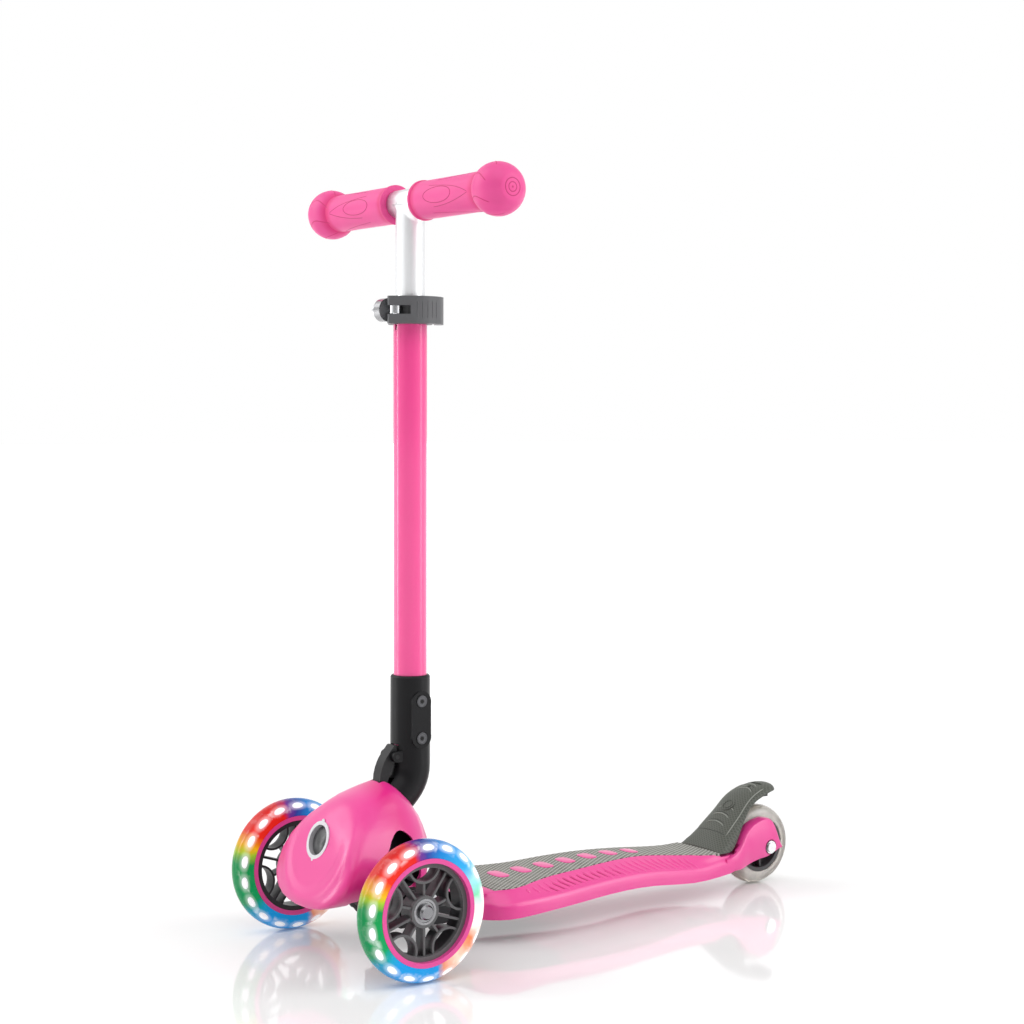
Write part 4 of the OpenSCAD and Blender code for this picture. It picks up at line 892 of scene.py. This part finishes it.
def add_tee_sleeve():
    """Silver sleeve of the welded T-joint: a short thick tube between the grips, flowing into the stem."""
    bar, stem = centre_of("crossbar"), centre_of("inner_tube")
    stem_radius = size_of("inner_tube").x / 2
    half_outline = [(TEE_HALF - TEE_BEVEL_LONG, TEE_RADIUS), (TEE_HALF, TEE_RADIUS - TEE_BEVEL_DEEP),
                    (TEE_HALF, TEE_BORE)]
    outline = [(-x, radius) for x, radius in reversed(half_outline)] + half_outline
    points, faces = [], []
    for level, (x, radius) in enumerate(outline):
        for a in circle(TEE_SIDES):
            points.append((bar.x + x, bar.y + radius * math.cos(a), bar.z + radius * math.sin(a)))
        faces += band(level * TEE_SIDES, (level + 1) % len(outline) * TEE_SIDES, TEE_SIDES)
    # Rings round the stem that rise into the underside of the sleeve
    base = len(points)
    for level in range(FILLET_RINGS):
        turn = level / (FILLET_RINGS - 1) * math.pi / 2
        radius = stem_radius + FILLET_GAP + FILLET * FILLET_WIDE * (1 - math.cos(turn))
        for a in circle(TEE_SIDES):
            across = min(abs(radius * math.sin(a)), TEE_RADIUS - FILLET_INSIDE)
            underside = bar.z - math.sqrt(TEE_RADIUS ** 2 - across ** 2)
            z = underside - FILLET + (FILLET + FILLET_OVERLAP) * math.sin(turn)
            points.append((stem.x + radius * math.cos(a), stem.y + radius * math.sin(a), z))
    for level in range(FILLET_RINGS - 1):
        faces += band(base + level * TEE_SIDES, base + (level + 1) * TEE_SIDES, TEE_SIDES)
    add_mesh("tee_sleeve", points, faces, "silver_bar", "handlebar")


STRAP_RADIUS, STRAP_THICK, STRAP_SQUASH, STRAP_STEPS = 9.6 * MM, 0.9 * MM, 0.98, 24
STRAP_BACK = 9.5 * MM
# The left side, towards the lever, is shorter, so that the open lever swings past it
STRAP_RIGHT, STRAP_LEFT = -5.6 * MM, 4.2 * MM


def add_clamp_strap():
    """Steel strap bent round the clamp's ears."""
    low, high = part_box("clamp_collar")
    centre = Vector((0, low.y + STRAP_BACK, (low.z + high.z) / 2))
    turns = [math.radians(90 + 180 * k / STRAP_STEPS) for k in range(STRAP_STEPS + 1)]
    points = [centre + Vector((x, radius * math.cos(a) * STRAP_SQUASH, radius * math.sin(a)))
              for x in (STRAP_RIGHT, STRAP_LEFT) for radius in (STRAP_RADIUS, STRAP_RADIUS + STRAP_THICK)
              for a in turns]
    row = len(turns)
    faces = []
    for k in range(STRAP_STEPS):
        for one, two in ((0, 1), (3, 2), (2, 0), (1, 3)):
            faces.append((one * row + k, one * row + k + 1, two * row + k + 1, two * row + k))
    end = (0, row, 3 * row, 2 * row)
    faces += [end, tuple(corner + STRAP_STEPS for corner in reversed(end))]
    add_mesh("clamp_strap", points, faces, "strap_steel", "stem", soft=False)


# Ridges by angle in degrees round the tube, from straight left towards the rear
LEVER_RIDGES, RIDGE_FIRST, RIDGE_PITCH = 5, -20, 9.5
RIDGE_STEPS, RIDGE_STEP = 12, 1.55 * MM


def add_lever_ridges():
    """Upright finger ridges on the clamp's lever."""
    skin = Surface("clamp_lever")
    tube, middle = Vector((0, centre_of("outer_tube").y, 0)), centre_of("clamp_collar").z
    outside = 60 * MM
    heights = [Vector((0, 0, middle + (t - RIDGE_STEPS / 2) * RIDGE_STEP)) for t in range(RIDGE_STEPS + 1)]
    runs = []
    for k in range(LEVER_RIDGES):
        turn = math.radians(RIDGE_FIRST + RIDGE_PITCH * k)
        way = Vector((math.cos(turn), math.sin(turn), 0))
        runs.append([skin.hit(tube + way * outside + height, -way) for height in heights])
    add_beads("clamp_ridges", runs, 1.6 * MM, 0.45 * MM, "dark_lever", "clamp_lever")


add_deck_ribs()
add_mat_pads()
add_brake_detail()
add_grip_detail("left", 1)
add_grip_detail("right", -1)
add_neck_bolt_faces()
add_tee_sleeve()
add_clamp_strap()
add_lever_ridges()

# ---------------------------------------------------------------- studio

FLOOR_SIZE, FLOOR_DROP = 60.0, 0.2 * MM
FLOOR_WHITE, FLOOR_MOTTLE, FLOOR_ROUGHNESS = 0.90, 0.005, 0.07
FLOOR_SHINE, FLOOR_LIFT = 0.5, 0.06
FLOOR_PLAIN_FROM, FLOOR_PLAIN_TO = 0.9, 2.4

# Strength of the world in plain light, and in reflections in general, on the dark side and opposite it
WORLD_LEVEL = 0.50
GLOSS_LEVEL, DARK_LEVEL, FAR_SIDE_LEVEL = 0.85, 0.25, 1.0
# Direction of the dark side, and the cosines from it between which each of the two begins
DARK_SIDE = Vector((0.797, -0.604, 0.05))
DARK_FROM, DARK_TO = 0.62, 0.92
FAR_SIDE_TO, FAR_SIDE_FROM = -0.80, -0.55

# Name, direction to the lamp, strength, how wide it looks in degrees, its share in reflections
SUNS = [("left", (-0.62, -0.52, 0.62), 0.8, 44, 0.25), ("right", (0.70, 0.62, 0.62), 0.9, 44, 0.25),
        ("top", (0.40, -0.40, 1.0), 0.9, 60, 0.12)]
# Name, place, width and height, watts: tall soft boxes whose reflections run down the tubes
STRIPS = [("strip_left", (-1.45, -2.02, 0.75), (0.26, 2.6), 17),
          ("strip_right", (1.75, 1.75, 0.75), (0.7, 2.6), 14)]


def add_lamp(data, place, way):
    """A lamp at place that shines from the direction way"""
    lamp = bpy.data.objects.new(data.name, data)
    lamp.location = place
    lamp.rotation_euler = Vector(way).to_track_quat("Z", "Y").to_euler()
    scene.collection.objects.link(lamp)


def add_lamps():
    for name, way, strength, width, gloss in SUNS:
        data = bpy.data.lights.new(name, "SUN")
        data.energy = strength
        data.angle = math.radians(width)
        data.specular_factor = gloss
        add_lamp(data, (0, 0, 0), way)
    for name, place, size, watts in STRIPS:
        data = bpy.data.lights.new(name, "AREA")
        data.shape = "RECTANGLE"
        data.size, data.size_y = size
        data.energy = watts
        add_lamp(data, place, (place[0], place[1], 0))


def floor_white():
    """Glossy white near the object; well away from it plain white that shows nothing."""
    s = Shader("floor", (FLOOR_WHITE,) * 3, FLOOR_ROUGHNESS)
    s.paint(s.mix(s.noise(400, 2), (FLOOR_WHITE - FLOOR_MOTTLE,) * 3, (FLOOR_WHITE + FLOOR_MOTTLE,) * 3))
    far = s.step(s.length(s.axis("X"), s.axis("Y")), FLOOR_PLAIN_FROM, FLOOR_PLAIN_TO)
    s.link(s.math("MULTIPLY", s.invert(far), FLOOR_SHINE), s.main.inputs["Specular IOR Level"])
    path = s.node("ShaderNodeLightPath").outputs
    seen = s.math("MAXIMUM", path["Is Camera Ray"],
                  s.math("MAXIMUM", path["Is Glossy Ray"], path["Is Transmission Ray"]))
    s.set("Emission Color", (1, 1, 1, 1))
    glow = s.math("MULTIPLY", seen, s.math("MAXIMUM", far, FLOOR_LIFT))
    s.link(glow, s.main.inputs["Emission Strength"])
    return s.done()


def add_floor():
    mesh = bpy.data.meshes.new("floor")
    h = FLOOR_SIZE / 2
    mesh.from_pydata([(-h, -h, 0), (h, -h, 0), (h, h, 0), (-h, h, 0)], [], [(0, 1, 2, 3)])
    mesh.materials.append(floor_white())
    floor = bpy.data.objects.new("floor", mesh)
    floor.location.z = -FLOOR_DROP
    scene.collection.objects.link(floor)


def add_world():
    """White for the camera, plain light for the object, and for reflections a darker wall on one side."""
    world = bpy.data.worlds.new("world")
    scene.world = world
    world.use_nodes = True
    w = Nodes(world.node_tree)
    path = w.node("ShaderNodeLightPath").outputs
    dot = w.node("ShaderNodeVectorMath", operation="DOT_PRODUCT")
    dot.inputs[1].default_value = DARK_SIDE.normalized()
    w.link(w.node("ShaderNodeTexCoord").outputs["Generated"], dot.inputs[0])
    facing = dot.outputs["Value"]
    wall = w.math("ADD", w.step(facing, DARK_FROM, DARK_TO, GLOSS_LEVEL, DARK_LEVEL),
                  w.step(facing, FAR_SIDE_TO, FAR_SIDE_FROM, FAR_SIDE_LEVEL - GLOSS_LEVEL, 0.0))
    shown = w.math("MAXIMUM", path["Is Camera Ray"], path["Is Transmission Ray"])
    clear = w.math("MAXIMUM", shown, w.math("MULTIPLY", path["Is Glossy Ray"], wall))
    other = w.invert(w.math("MAXIMUM", shown, path["Is Glossy Ray"]))
    back = w.tree.nodes["Background"]
    w.link(w.math("ADD", clear, w.math("MULTIPLY", other, WORLD_LEVEL)), back.inputs["Strength"])
    back.inputs["Color"].default_value = (1, 1, 1, 1)


add_floor()
add_world()
add_lamps()

scene.view_settings.view_transform = "Standard"

# ---------------------------------------------------------------- smooth shading of the moulded shells

EDGE_ANGLE = math.radians(32)
WELD_REACH = 0.01 * MM
SMOOTH = ["fairing", "deck_shell", "brake_fender", "neck", "deck_grip", "outer_tube", "inner_tube",
          "crossbar", "left_grip", "right_grip", "left_tyre", "right_tyre", "rear_tyre", "left_lights",
          "right_lights", "clamp_lever", "clamp_collar", "lock_button", "button_ring", "left_core",
          "right_core", "rear_core", "left_rim_ring", "right_rim_ring", "fold_lever", "brake_badge",
          "axle_beam", "base_frame"]


def smooth(node):
    """Welds a shell's seams and splits them again only at true edges, so that its curves shade smoothly."""
    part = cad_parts[node]
    part.data.polygons.foreach_set("use_smooth", [True] * len(part.data.polygons))
    part.modifiers.new("weld", "WELD").merge_threshold = WELD_REACH
    split = part.modifiers.new("edges", "EDGE_SPLIT")
    split.split_angle = EDGE_ANGLE
    split.use_edge_sharp = False


for node in SMOOTH:
    smooth(node)
